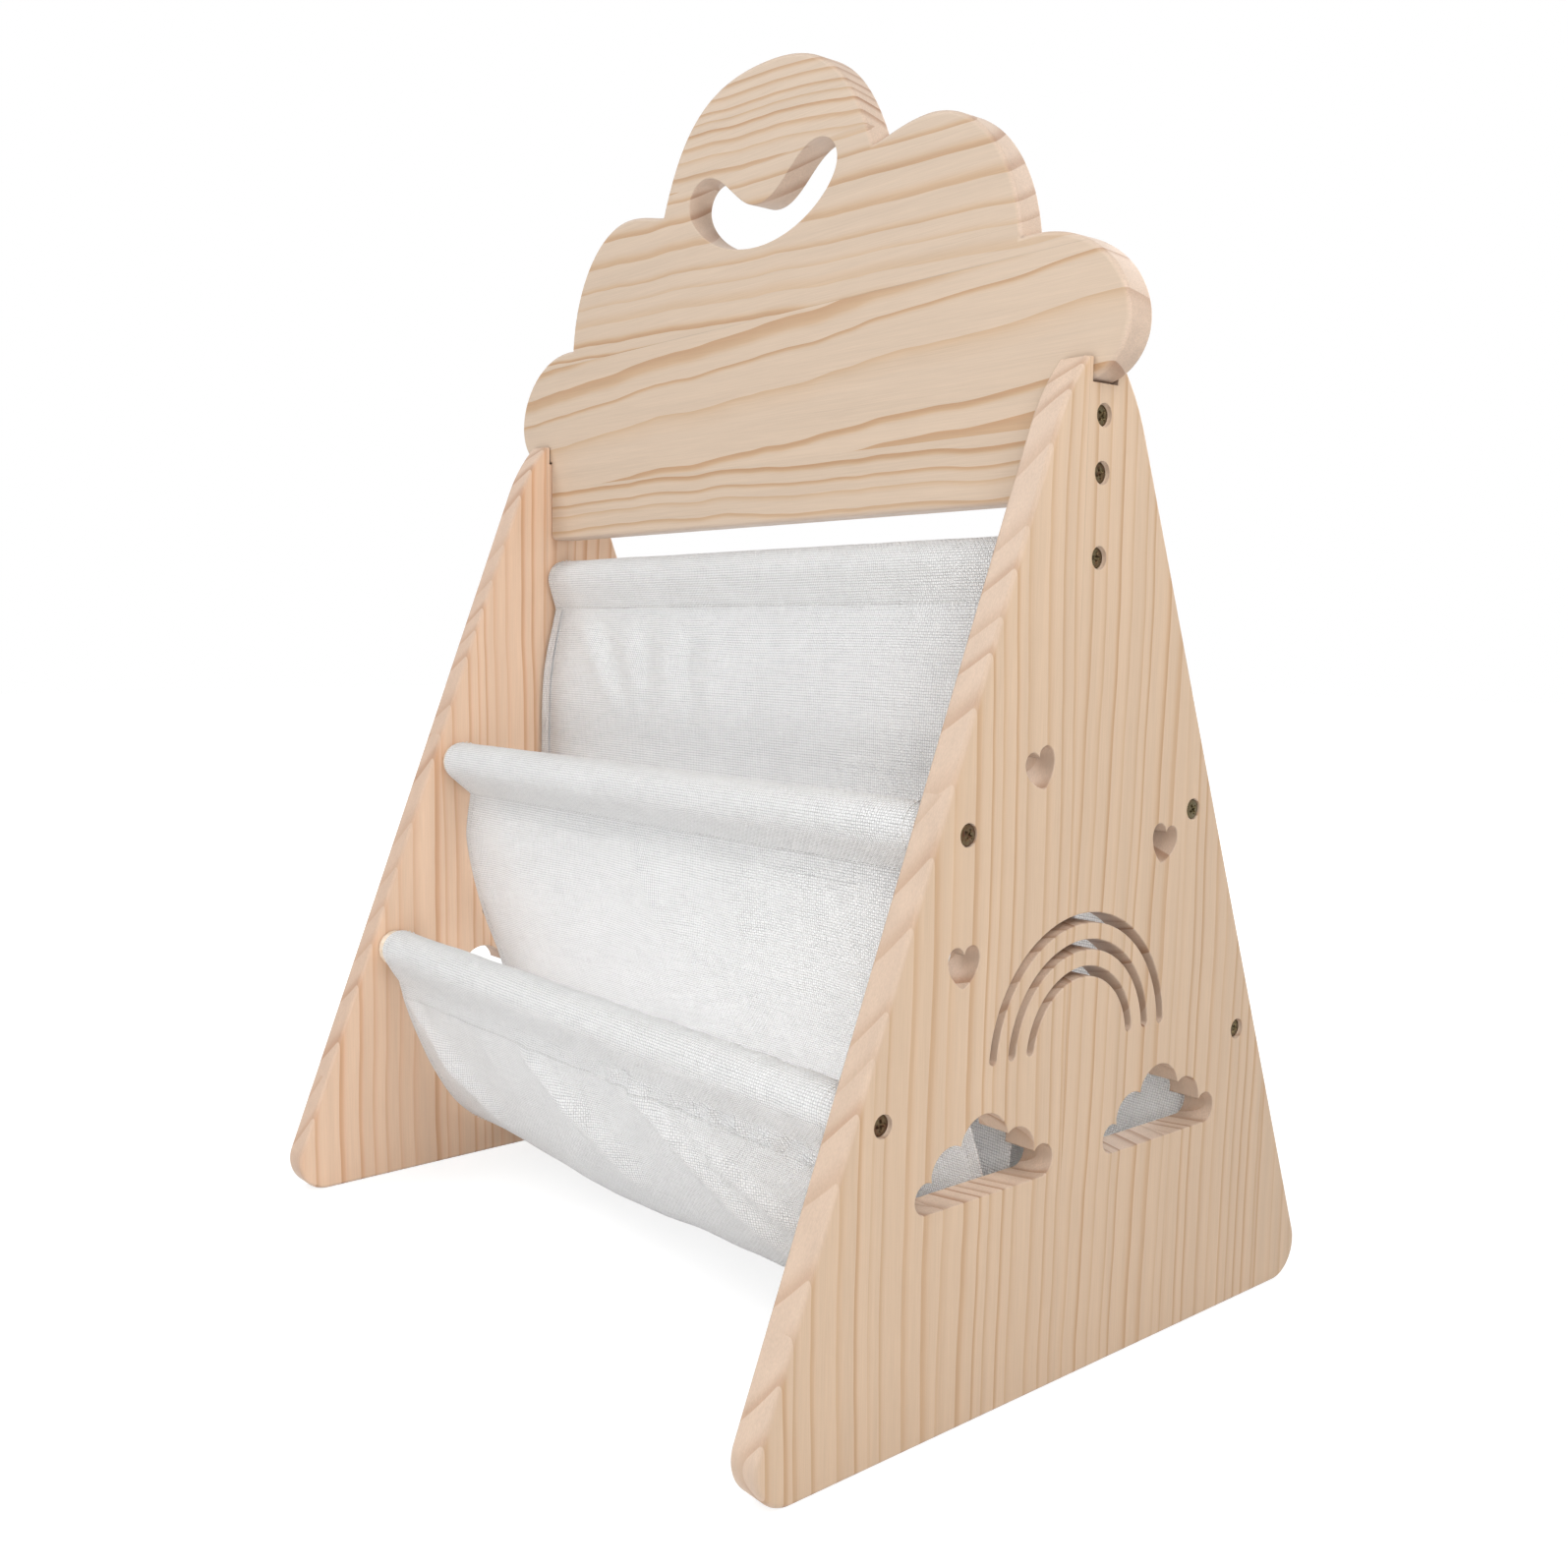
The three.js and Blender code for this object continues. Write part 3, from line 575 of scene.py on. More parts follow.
def heart(y, z, tilt):
    (width, height), rows = HEART
    half, at = [], (0, 0)
    for ax, az, bx, bz, cx, cz in rows:
        half.append(curve(at, (ax, az), (bx, bz), (cx, cz), 0.06)[:-1])
        at = (cx, cz)
    loop = (mirrored(np.vstack(half + [[at]])) - (0, 0.5)) * (width, height)
    tilt = math.radians(tilt)
    spin = np.array([[math.cos(tilt), -math.sin(tilt)], [math.sin(tilt), math.cos(tilt)]])
    return loop @ spin.T + (y, z)


def rainbow(radius, centre=170, lift=5.3, half=2.5):
    rise = math.asin(lift / radius)
    end = radius * math.cos(rise)
    fall = math.pi - rise
    return np.vstack([
        arc((0, centre), radius + half, rise, fall),
        arc((-end, centre + lift), half, fall, fall + math.pi, 0.6)[1:-1],
        arc((0, centre), radius - half, fall, rise),
        arc((end, centre + lift), half, rise + math.pi, rise + 2 * math.pi, 0.6)[1:-1],
    ])


WINDOW = [
    (0.078, 0.077, 0.077), (0.25, 0.156, 0.141), (0.479, 0.234, 0.177),
    (0.714, 0.156, 0.141), (0.915, 0.085, 0.085),
]


def crossing(first, second):
    """Where two circles (y, z, radius) cross, left of the way between them."""
    (y, z, r), (ny, nz, nr) = first, second
    gap = math.hypot(ny - y, nz - z)
    along = (r * r - nr * nr + gap * gap) / (2 * gap)
    across = math.sqrt(r * r - along * along)
    return (
        y + (along * (ny - y) - across * (nz - z)) / gap,
        z + (along * (nz - z) + across * (ny - y)) / gap,
    )


def window(start, width=96, sill=110.8):
    lobes = [(start + y * width, sill + z * width, r * width) for y, z, r in WINDOW]
    feet = [(y, z - r) for y, z, r in lobes]
    ends = [feet[0], *map(crossing, lobes, lobes[1:]), feet[-1]]
    loop = []
    for (y, z, r), before, after in zip(lobes, ends, ends[1:]):
        angle, end = (math.atan2(at[1] - z, at[0] - y) for at in (before, after))
        while end > angle:
            end -= 2 * math.pi
        loop.append(arc((y, z), r, angle, end, FINE))
    return np.vstack(loop)


# The rods' places as (y, z), and each screw's label, place and depth
TOP_ROD = (0, 408)
MID_ROD = (-86.03, 282.5)
LOW_ROD = (-136.48, 158)
DEEP, FLUSH = 1.6, 0.2
SCREWS = [
    ("cloud_upper", 0, 474, DEEP), ("cloud_lower", 0, 447.5, DEEP), ("top_rod", *TOP_ROD, DEEP),
]
for label, (y, z), sink in (("mid", MID_ROD, FLUSH), ("low", LOW_ROD, DEEP)):
    SCREWS += [(label, y, z, sink), (label, -y, z, sink)]


def add_side_panel(name, material, turned):
    side = -1 if turned else 1
    outline, rounds = panel_outline()
    holes = [*map(rainbow, RAINBOW_RADII), *map(window, WINDOW_STARTS)]
    holes += [heart(*row) for row in HEARTS]
    pits = [((y, z), SCREW_HOLE, sink + HEAD_ROOM) for _, y, z, sink in SCREWS]

    def place(y, z, w):
        return side * (OUTER_X - BOARD / 2 + w), side * y, z

    board = board_object(name + "_board", outline, rounds, holes, pits, place, material)
    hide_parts(name)


CLOUD_REST = 488.8
CLOUD_TOP = 696
CLOUD_REACH = 259
TAB_ROUND = 27
NECK_HALF = 222.2
NECK_FOOT = 435.5
NECK_ROUND = 4


def cloud_outline():
    rest, reach = CLOUD_REST, CLOUD_REACH
    neck = (NECK_HALF - NECK_ROUND, NECK_FOOT + NECK_ROUND)
    lobe = (reach - 59, rest + 73.5)
    outer_cusp = (lobe[0] - 5.5, rest + 73.2)
    shoulder = (130, rest + 146.5)
    inner_cusp = (92, rest + 140.7)
    half = np.vstack([
        arc(neck, NECK_ROUND, -math.pi / 2, 0, FINE),
        [(NECK_HALF, rest)],
        arc((reach - TAB_ROUND, rest + TAB_ROUND), TAB_ROUND, -math.pi / 2, 0),
        box_curve(lobe, (reach, rest + TAB_ROUND), [(0.61, 0), (1, 0.53)])[::-1],
        [outer_cusp],
        box_curve(shoulder, outer_cusp, [(0.5, 0), (0.94, 0.4)])[::-1],
        box_curve(inner_cusp, shoulder, [(0.18, 0), (0.55, 1)])[::-1],
        box_curve(inner_cusp, (0, CLOUD_TOP), [(0.188, 0.676), (0.435, 1)]),
    ])
    return distinct(np.vstack([half, half[::-1] * (-1, 1)]))


def hand_hole():
    lip, horn = (0, CLOUD_TOP - 78), (50, CLOUD_TOP - 53.5)
    end, belly = (65, CLOUD_TOP - 67), (0, CLOUD_TOP - 101.5)
    half = np.vstack([
        box_curve(lip, horn, [(0.4, 0), (0.6, 1)]),
        box_curve(horn, end, [(0.55, 0), (1, 0.45)], FINE)[1:],
        box_curve(end, belly, [(0, 0.4), (0.42, 1)])[1:],
    ])
    return mirrored(half)


def add_cloud_board(material):
    board = board_object(
        "cloud_board_face", turn_left(cloud_outline()), EDGE_ROUND, [hand_hole()], [],
        lambda x, z, w: (x, -w, z), material,
    )
    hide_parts("cloud_board")


def add_wood():
    core = OUTER_X - BOARD / 2
    right = pine("right_pine", RIGHT_WOOD, (2, 1, 0), core, PANEL_STAVES, ring=9.4, seed=1.7)
    left = pine("left_pine", LEFT_WOOD, (2, 1, 0), -core, PANEL_STAVES, ring=8.6, seed=5.3)
    cloud = pine(
        "cloud_pine", CLOUD_WOOD, (0, 2, 1), 0, CLOUD_STAVES, ring=8.0, seed=9.1, wavy=2.2,
    )
    rods = pine("rod_pine", ROD_WOOD, (0, 1, 2), 0, ROD_STAVES, ring=4.0, seed=3.1)
    add_side_panel("right_side_panel", right, False)
    add_side_panel("left_side_panel", left, True)
    add_cloud_board(cloud)
    for name in ("top_rod", "front_mid_rod", "back_mid_rod", "front_low_rod", "back_low_rod"):
        rod = bpy.data.objects[name].data
        rod.materials.clear()
        rod.materials.append(rods)
        rod.shade_smooth()
        rod.set_sharp_from_angle(angle=math.radians(35))


# Screws: pan heads with a cross recess, each turned its own way

HEAD_RADIUS = 5.2
DOME_RADIUS = 4.7
HEAD_HEIGHT = 3
SHANK_RADIUS = 2.3
SHANK_LENGTH = 34
RECESS_HALF = 0.75
RECESS_REACH = 2.9
RECESS_DEPTH = 1.7


def ease(share):
    """A share from 0 to 1 that starts and ends softly."""
    return share * share * (3 - 2 * share)


def cut_in(value, edge, soft=0.35):
    """From 1 well inside an edge to 0 outside it."""
    return ease(np.clip((edge + soft / 2 - abs(value)) / soft, 0, 1))


def add_screw(name, side, y, z, sink, turn, material):
    around = 2 * math.pi * np.arange(72) / 72
    rings = [(radius, None) for radius in np.linspace(0.12, DOME_RADIUS, 26)]
    rings += [(4.95, 2.45), (5.12, 2.1), (HEAD_RADIUS, 1.6), (HEAD_RADIUS, 0.3), (5, 0)]
    rings += [(SHANK_RADIUS, 0), (SHANK_RADIUS, 2 - SHANK_LENGTH), (0.2, -SHANK_LENGTH)]
    points, faces = [], []
    seat = OUTER_X - sink - HEAD_HEIGHT
    for radius, height in rings:
        u, v = radius * np.cos(around), radius * np.sin(around)
        if height is None:
            along = u * math.cos(turn) + v * math.sin(turn)
            across = v * math.cos(turn) - u * math.sin(turn)
            arms = np.maximum(
                cut_in(across, RECESS_HALF) * cut_in(along, RECESS_REACH),
                cut_in(along, RECESS_HALF) * cut_in(across, RECESS_REACH),
            )
            dome = HEAD_HEIGHT - 0.4 * (radius / DOME_RADIUS) ** 3
            height = dome - arms * RECESS_DEPTH * (1 - 0.18 * radius)
        level = np.broadcast_to(height, around.shape)
        points.extend(zip(side * (seat + level), side * (y + u), z + v))
    loops = [range(first, first + len(around)) for first in range(0, len(points), len(around))]
    for inner, outer in zip(loops, loops[1:]):
        faces.extend((a, d, c, b) for a, b, c, d in band(inner, outer))
    faces += [loops[0], loops[-1][::-1]]
    screw = add_piece(name + "_head", points, faces, material)
    screw.data.set_sharp_from_angle(angle=math.radians(50))
    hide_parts(name)


def add_metal():
    steel = bronzed_steel("bronzed_steel")
    for side, side_name in ((1, "right"), (-1, "left")):
        for index, (label, y, z, sink) in enumerate(SCREWS):
            if y:
                label += "_front" if side * y < 0 else "_back"
            turn = 0.35 + 1.1 * index + 0.5 * side
            add_screw(f"{side_name}_{label}_screw", side, y, z, sink, turn, steel)


# Cloth. Sections are in millimetres, as rows of (y, z) for the front of the
# shelf; a sheet is a grid with its rows along the section and columns along X.

SLEEVE_RADIUS = 12.9
TOP_SEAM = (-6.8, 387.4)
MID_SEAM = (-79.03, 259.8)
LOW_SEAM = (-137.98, 136)
POCKET_BOTTOM = (-33.4, 82)
SLING_BOTTOM = 18
SLING_DIP = 9
HEM = 10
SIDE_HEM = 8
SIDE_SEAM = SIDE_HEM - 1.5
CLOTH = 0.8
LAYER = 1.1
STEP = 2.8
SPAN = 435

# A side hem's section: how far in from the sheet's end and how far behind it
HEM_FOLD = [
    (SIDE_HEM, LAYER), (SIDE_HEM / 2, LAYER), (0.7, LAYER), (0.1, 0.8 * LAYER),
    (-0.15, LAYER / 2), (0.1, 0.2 * LAYER),
]
HEM_EDGE = 0.7


def run_along(line):
    """How far along a line each of its points lies."""
    return np.concatenate([[0], np.cumsum(np.hypot(*np.diff(line, axis=0).T))])


def spaced(line, count):
    """The line with a number of evenly spaced points."""
    run = run_along(line)
    at = np.linspace(0, run[-1], count)
    return np.stack([np.interp(at, run, line[:, axis]) for axis in (0, 1)], 1)


def resample(points):
    """Points along a smooth line, evenly spaced."""
    points = np.asarray(points, float)
    ends = np.vstack([2 * points[0] - points[1], points, 2 * points[-1] - points[-2]])
    fine = []
    for index in range(len(points) - 1):
        a, b, c, d = ends[index:index + 4]
        for t in np.linspace(0, 1, 16, endpoint=False):
            fine.append(0.5 * (
                2 * b + (c - a) * t + (2 * a - 5 * b + 4 * c - d) * t * t
                + (3 * b - a - 3 * c + d) * t ** 3
            ))
    fine = np.array(fine + [points[-1]])
    return spaced(fine, max(2, round(run_along(fine)[-1] / STEP)) + 1)


def sides_of(line):
    """The unit normal at each point, to the left of the line's run."""
    run = np.gradient(line, axis=0)
    run /= np.hypot(*run.T)[:, None]
    return np.stack([-run[:, 1], run[:, 0]], 1)


def rod_loop(rod, seam):
    """Up the front of a rod from the seam, over the top and down its back."""
    rod, seam = np.array((rod, seam), float)
    gap = seam - rod
    middle = math.atan2(gap[1], gap[0])
    spread = math.acos(SLEEVE_RADIUS / np.hypot(*gap))
    turn = np.linspace(middle - spread, middle + spread - 2 * math.pi, 26)
    return rod + SLEEVE_RADIUS * np.stack([np.cos(turn), np.sin(turn)], 1)


def straight(start, end):
    start, end = np.array((start, end), float)
    count = max(2, round(np.hypot(*(end - start)) / STEP))
    return np.linspace(start, end, count + 1)


def sleeve_line(rod, seam, hem_end):
    """From a seam round a rod, back down and on behind the wall to the hem's end."""
    ring = rod_loop(rod, seam)
    behind = np.array(seam) + (LAYER, 0.4)
    return np.vstack([
        straight(seam, ring[0])[1:-1], ring, straight(ring[-1], behind)[1:],
        straight(behind, hem_end + (LAYER, 0))[1:],
    ])


def ramp(distance, length=8):
    """From 0 at a place on the cloth to 1 at a length past it."""
    return np.clip(distance / length, 0, 1)


def bell(distance, width=7):
    """1 at a place on the cloth, fading to both sides of it."""
    return np.exp(-((distance / width) ** 2))


def ridge(x, s, rows):
    """Heights of soft folds; each row is (x0, s0, x1, s1, half width, height)."""
    total = np.zeros_like(x + s)
    for x0, s0, x1, s1, width, height in rows:
        dx, ds = x1 - x0, s1 - s0
        length = math.hypot(dx, ds)
        along = ((x - x0) * dx + (s - s0) * ds) / length ** 2
        across = ((x - x0) * ds - (s - s0) * dx) / length
        fade = ease(np.clip(1.5 - abs(along - 0.5) * 2.4, 0, 1))
        total = total + height * fade * bell(across, width)
    return total


def ruffle(x, s, size, seed, count=9, lean=0.0):
    """Smooth random heights about 1 high, with waves about size long."""
    rng = np.random.default_rng(seed)
    total = np.zeros_like(x + s)
    for _ in range(count):
        turn = rng.uniform(-0.9, 0.9) + lean
        wave = 2 * math.pi / (size * rng.uniform(0.7, 1.7))
        total = total + np.sin(
            wave * (x * math.cos(turn) + s * math.sin(turn)) + rng.uniform(0, 2 * math.pi)
        )
    return total / math.sqrt(count)


class Sheet:
    """A cloth hung along X. line_at(x) gives its section; outer is the side
    of the line that looks out, and lift(x, s) moves it that way."""

    def __init__(self, line_at, reach, outer, lift):
        columns = round((reach[1] - reach[0]) / STEP)
        self.xs = np.linspace(*reach, columns + 1)
        lines = np.array([line_at(x) for x in self.xs])
        self.run = run_along(line_at(0))
        across = np.array([outer * sides_of(line) for line in lines])
        x, s = self.xs[:, None], self.run[None, :]
        lines = lines + across * lift(x, s)[:, :, None]
        self.places = np.dstack([np.repeat(x, len(self.run), 1), lines])
        self.outward = np.array([outer * sides_of(line) for line in lines])

    def grid(self):
        """Its places with the hems at both ends folded in, and their marks in X."""
        first, last = self.xs[0], self.xs[-1]
        spots = [(first + inset, depth, first - inset) for inset, depth in HEM_FOLD]
        spots += [(first + HEM_EDGE, 0, first)] + [(x, 0, x) for x in self.xs[1:-1]]
        spots += [(last - HEM_EDGE, 0, last)]
        spots += [(last - inset, depth, last + inset) for inset, depth in reversed(HEM_FOLD)]
        rows = [self.folded(x, depth) for x, depth, _ in spots]
        return np.array(rows), np.array([mark for _, _, mark in spots])

    def column(self, x, margin):
        at = (x - self.xs[0]) / (self.xs[1] - self.xs[0])
        return min(max(at, 0), len(self.xs) - margin)

    def folded(self, x, depth):
        at = self.column(x, 1)
        low = min(int(at), len(self.xs) - 2)
        share = at - low
        place = self.places[low] * (1 - share) + self.places[low + 1] * share
        out = self.outward[low] * (1 - share) + self.outward[low + 1] * share
        place[:, 0] = x
        place[:, 1:] -= out * depth
        return place

    def at(self, x, s):
        """A place on the sheet, its outward side and its two directions."""
        column = self.column(x, 1.001)
        row = min(np.interp(s, self.run, np.arange(len(self.run))), len(self.run) - 1.001)
        i, j = int(column), int(row)
        a, b = column - i, row - j
        grid = self.places
        place = (
            grid[i, j] * (1 - a) * (1 - b) + grid[i + 1, j] * a * (1 - b)
            + grid[i, j + 1] * (1 - a) * b + grid[i + 1, j + 1] * a * b
        )
        along_x = grid[i + 1, j] - grid[i, j]
        along_s = grid[i, j + 1] - grid[i, j]
        along_x /= np.linalg.norm(along_x)
        along_s /= np.linalg.norm(along_s)
        out = np.array([0.0, *self.outward[i, j]])
        return place, out, along_x, along_s

    def flat(self):
        """Width and length of the cut, with its side hems."""
        return (self.xs[-1] - self.xs[0] + 2 * SIDE_HEM) * MM, self.run[-1] * MM

    def side_seams(self, start, end):
        return [(x, start, x, end) for x in (self.xs[0] + SIDE_SEAM, self.xs[-1] - SIDE_SEAM)]


def cloth_object(name, sheet, material, turned):
    grid, marks = sheet.grid()
    columns, rows = grid.shape[:2]
    uv = np.stack(np.meshgrid(marks, sheet.run, indexing="ij"), 2).reshape(-1, 2) / 10
    faces = [
        (i * rows + j, (i + 1) * rows + j, (i + 1) * rows + j + 1, i * rows + j + 1)
        for i in range(columns - 1) for j in range(rows - 1)
    ]
    return add_piece(name, grid.reshape(-1, 3), faces, material, turned, uv)


def stitches(name, sheet, seams, material, turned):
    """Short threads along seams; each seam is (x0, s0, x1, s1)."""
    points, faces = [], []
    length, wide, high, pitch, sides = 2.1, 0.32, 0.3, 3.0, 5
    for x0, s0, x1, s1 in seams:
        count = round(math.hypot(x1 - x0, s1 - s0) / pitch)
        lengthways = abs(x1 - x0) > abs(s1 - s0)
        for index in range(count):
            share = (index + 0.5) / count
            x, s = x0 + (x1 - x0) * share, s0 + (s1 - s0) * share
            place, out, along_x, along_s = sheet.at(x, s)
            run, side = (along_x, along_s) if lengthways else (along_s, along_x)
            base = len(points)
            for end in (-0.5, -0.3, 0, 0.3, 0.5):
                swell = (1 - (2 * end) ** 4) ** 0.5 if abs(end) < 0.5 else 0.15
                centre = place + out * (CLOTH / 2 + high * (swell - 0.55)) + run * end * length
                for turn in range(sides):
                    angle = 2 * math.pi * turn / sides
                    points.append(
                        centre + side * wide * swell * math.cos(angle)
                        + out * high * swell * math.sin(angle)
                    )
            for ring in range(base, len(points) - sides, sides):
                after = ring + sides
                faces.extend(band(range(ring, after), range(after, after + sides)))
    return add_piece(name, points, faces, material, turned)


def add_sheet(name, node, sewing, sheet, seams, materials, turned=False):
    """A cloth in its solid's place, and the rows of stitches along its seams."""
    weave, yarn = materials
    obj = cloth_object(name, sheet, weave, turned)
    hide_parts(node)
    sewn = stitches(sewing, sheet, seams, yarn, turned)
    sheet.flat()


def nearest_run(line, place):
    return run_along(line)[np.argmin(np.hypot(*(line - place).T))]


def share_line(shares, start, end):
    start, end = np.array((start, end), float)
    return list(start + (end - start) * np.array(shares))


INNER_SHARES = [
    (0, 0), (0.149, 0.049), (0.319, 0.105), (0.432, 0.17), (0.486, 0.285), (0.5, 0.45),
    (0.5, 0.61), (0.514, 0.77), (0.554, 0.885), (0.703, 0.965), (1, 1),
]
FRONT_SHARES = [
    (0.175, 0.06), (0.317, 0.18), (0.524, 0.343), (0.77, 0.498), (0.944, 0.649),
    (1.048, 0.801), (1.056, 0.876),
]
SLING_SHARES = [
    (0.967, 0.864), (0.93, 0.738), (0.884, 0.61), (0.833, 0.483), (0.757, 0.33),
    (0.674, 0.203), (0.565, 0.102), (0.435, 0.042), (0.22, 0.008),
]
SLING_DIPS = [0.1, 0, -0.15, -0.55, -0.3, 0.15, 0.45, 0.65, 0.7]

# Folds from one place on a cloth to another, then their half width and height.
# A place is x and z, on the front walls x and (y, z).
INNER_FOLDS = [
    (-186, 386, -124, 318, 8, -3.2), (-168, 386, -124, 340, 6, 2.2),
    (-134, 386, -104, 330, 9, -2.4), (-108, 386, -92, 320, 7, 1.6),
    (-84, 386, -70, 330, 8, -1.8), (-62, 386, -46, 310, 7, 2),
    (-36, 386, -22, 305, 10, -1.6), (40, 386, 34, 320, 26, -1),
    (130, 386, 112, 310, 26, -0.9), (-214, 380, -206, 240, 7, 1.5),
]
FRONT_FOLDS = [
    (-26, (-79.4, 262), -12, (-82.3, 232), 4, 2), (-15, (-82.3, 240), 2, (-77, 200), 6, 2.6),
    (56, (-80, 254), 76, (-79, 205), 10, 1.8), (90, (-80, 254), 104, (-77, 190), 14, -1.5),
    (-208, (-82, 246), -200, (-60, 160), 8, 1.8), (-120, (-80, 256), -40, (-77, 190), 30, -3),
    (30, (-80, 250), 36, (-77, 200), 16, -2), (-180, (-80, 250), -110, (-60, 150), 14, 1.6),
    (150, (-80, 256), 120, (-77, 190), 26, -1.4),
]
SLING_FOLDS = [
    (-205, 124, -150, 70, 6, 4), (-178, 106, -128, 48, 9, 5.4), (-66, 126, -10, 90, 7, 4.6),
    (-28, 104, 28, 54, 10, 5), (44, 131, 92, 100, 7, 4.2), (78, 110, 150, 54, 10, 5),
    (98, 114, 168, 74, 7, 3.4), (150, 120, 205, 60, 26, -2.6), (0, 122, 50, 70, 18, -2.4),
    (-100, 122, -50, 64, 20, -2.2), (-150, 120, -96, 60, 16, -1.6),
]


def run_down(folds, run_at):
    """The folds with how far along the cloth each place lies."""
    return [(x0, run_at(at0), x1, run_at(at1), *rest) for x0, at0, x1, at1, *rest in folds]


def pocket_line(x):
    """The wall's section and the sleeve round the middle rod that ends it."""
    slack = 1 - 0.10 * (x / SPAN + 0.5)
    bent = [(share * slack + rise * (1 - slack), rise) for share, rise in FRONT_SHARES]
    wall = resample(
        share_line(INNER_SHARES, TOP_SEAM, POCKET_BOTTOM)
        + share_line(bent, POCKET_BOTTOM, MID_SEAM) + [MID_SEAM]
    )
    return wall, sleeve_line(MID_ROD, MID_SEAM, wall[-1 - round(HEM / STEP)])


def sling_line(x):
    """The front sleeve, the wall between both low rods and the back sleeve."""
    along = (x / SPAN + 0.5) * (len(SLING_DIPS) - 1)
    left = min(max(int(along), 0), len(SLING_DIPS) - 2)
    blend = ease(min(max(along - left, 0), 1))
    dip = SLING_DIPS[left] * (1 - blend) + SLING_DIPS[left + 1] * blend
    middle = (0, SLING_BOTTOM + dip * SLING_DIP)
    front = [LOW_SEAM] + share_line(SLING_SHARES, middle, LOW_SEAM)
    back = [(-y, z) for y, z in reversed(front)]
    wall = resample(front + [middle] + back)
    head = sleeve_line(LOW_ROD, LOW_SEAM, wall[round(HEM / STEP)])[::-1]
    return head, wall, head[::-1] * (-1, 1)


def add_pocket(side, materials):
    turned = side == "back"
    wall_rows = len(pocket_line(0)[0])

    def line_at(x):
        wall, sleeve = pocket_line(x)
        return np.vstack([spaced(wall, wall_rows), sleeve])

    middle = line_at(0)
    run = run_along(middle)
    seam = run[wall_rows - 1]
    bottom = nearest_run(middle, POCKET_BOTTOM)
    loop_end = run[-1] - HEM
    seed = 40 if turned else 20

    folds = run_down(INNER_FOLDS, lambda z: nearest_run(middle[:wall_rows // 2], (-18, z)))
    folds += run_down(FRONT_FOLDS, lambda place: nearest_run(middle, place))

    def lift(x, s):
        wall = np.minimum(ramp(s, 12), ramp(seam - s, 10))
        height = ridge(x, s, folds) * wall + wall * (
            ruffle(x, s, 130, seed) * 0.9 + ruffle(x, s, 46, seed + 1) * 0.22
            + bell(s - bottom, 70) * ruffle(x, s, 90, seed + 2) * 1.4
        )
        near_seam = np.maximum(bell(s - seam), bell(s))
        height = height + near_seam * ruffle(x, s, 11, seed + 3, lean=0.2) * 0.1
        sleeve = ramp(s - seam - 2) * ramp(loop_end - s)
        return height + sleeve * (
            0.1 * ruffle(x, s, 80, seed + 4) + 0.05 * ruffle(x, s, 18, seed + 5) + 0.1
        )

    sheet = Sheet(line_at, (-218, 218), 1, lift)
    seams = [(-217, s, 217, s) for s in (seam + 0.8, 2)] + sheet.side_seams(3, loop_end)
    add_sheet(
        f"{side}_pocket_cloth", f"{side}_pocket_sling", f"{side}_pocket_cloth_stitches",
        sheet, seams, materials, turned,
    )


def add_lower_sling(materials):
    head, wall, _ = sling_line(0)
    rows = len(wall)

    def line_at(x):
        head, wall, tail = sling_line(x)
        return np.vstack([head, spaced(wall, rows), tail])

    middle = line_at(0)
    run = run_along(middle)
    front_seam, back_seam = run[len(head)], run[len(head) + rows - 1]
    total = run[-1]

    front = middle[len(head):len(head) + rows // 2]
    along_front = front_seam + run_along(front)
    folds = run_down(SLING_FOLDS, lambda z: along_front[np.argmin(abs(front[:, 1] - z))])

    def lift(x, s):
        wall = np.minimum(ramp(s - front_seam, 14), ramp(back_seam - s, 14))
        height = ridge(x, s, folds) * wall + wall * (
            ruffle(x, s, 140, 60) * 0.5 + ruffle(x, s, 40, 61, lean=0.7) * 0.16
        )
        right = 0.5 + 0.5 * np.tanh((x - 10) / 60)
        for middle_of_hem in (front_seam + HEM / 2, back_seam - HEM / 2):
            height = height + bell(s - middle_of_hem) * (0.5 + 1.5 * right) * (
                ruffle(x, s, 17, 62, lean=0.7) + 0.4 * ruffle(x, s, 7, 65, lean=0.5)
            )
        sleeve = ramp(np.maximum(front_seam - s, s - back_seam))
        sleeve = sleeve * ramp(np.minimum(s - HEM, total - HEM - s))
        right = 0.5 + 0.5 * np.tanh((x - 60) / 60)
        return height + sleeve * (
            0.15 * ruffle(x, s, 70, 63) + (0.05 + 0.22 * right) * ruffle(x, s, 17, 64) + 0.15
        )

    sheet = Sheet(line_at, (-214, 220), -1, lift)
    seams = [(-213, s, 216, s) for s in (front_seam + HEM, back_seam - HEM)]
    seams += sheet.side_seams(HEM, total - HEM)
    add_sheet(
        "lower_sling_cloth", "lower_sling", "lower_sling_stitches",
        sheet, seams, materials,
    )


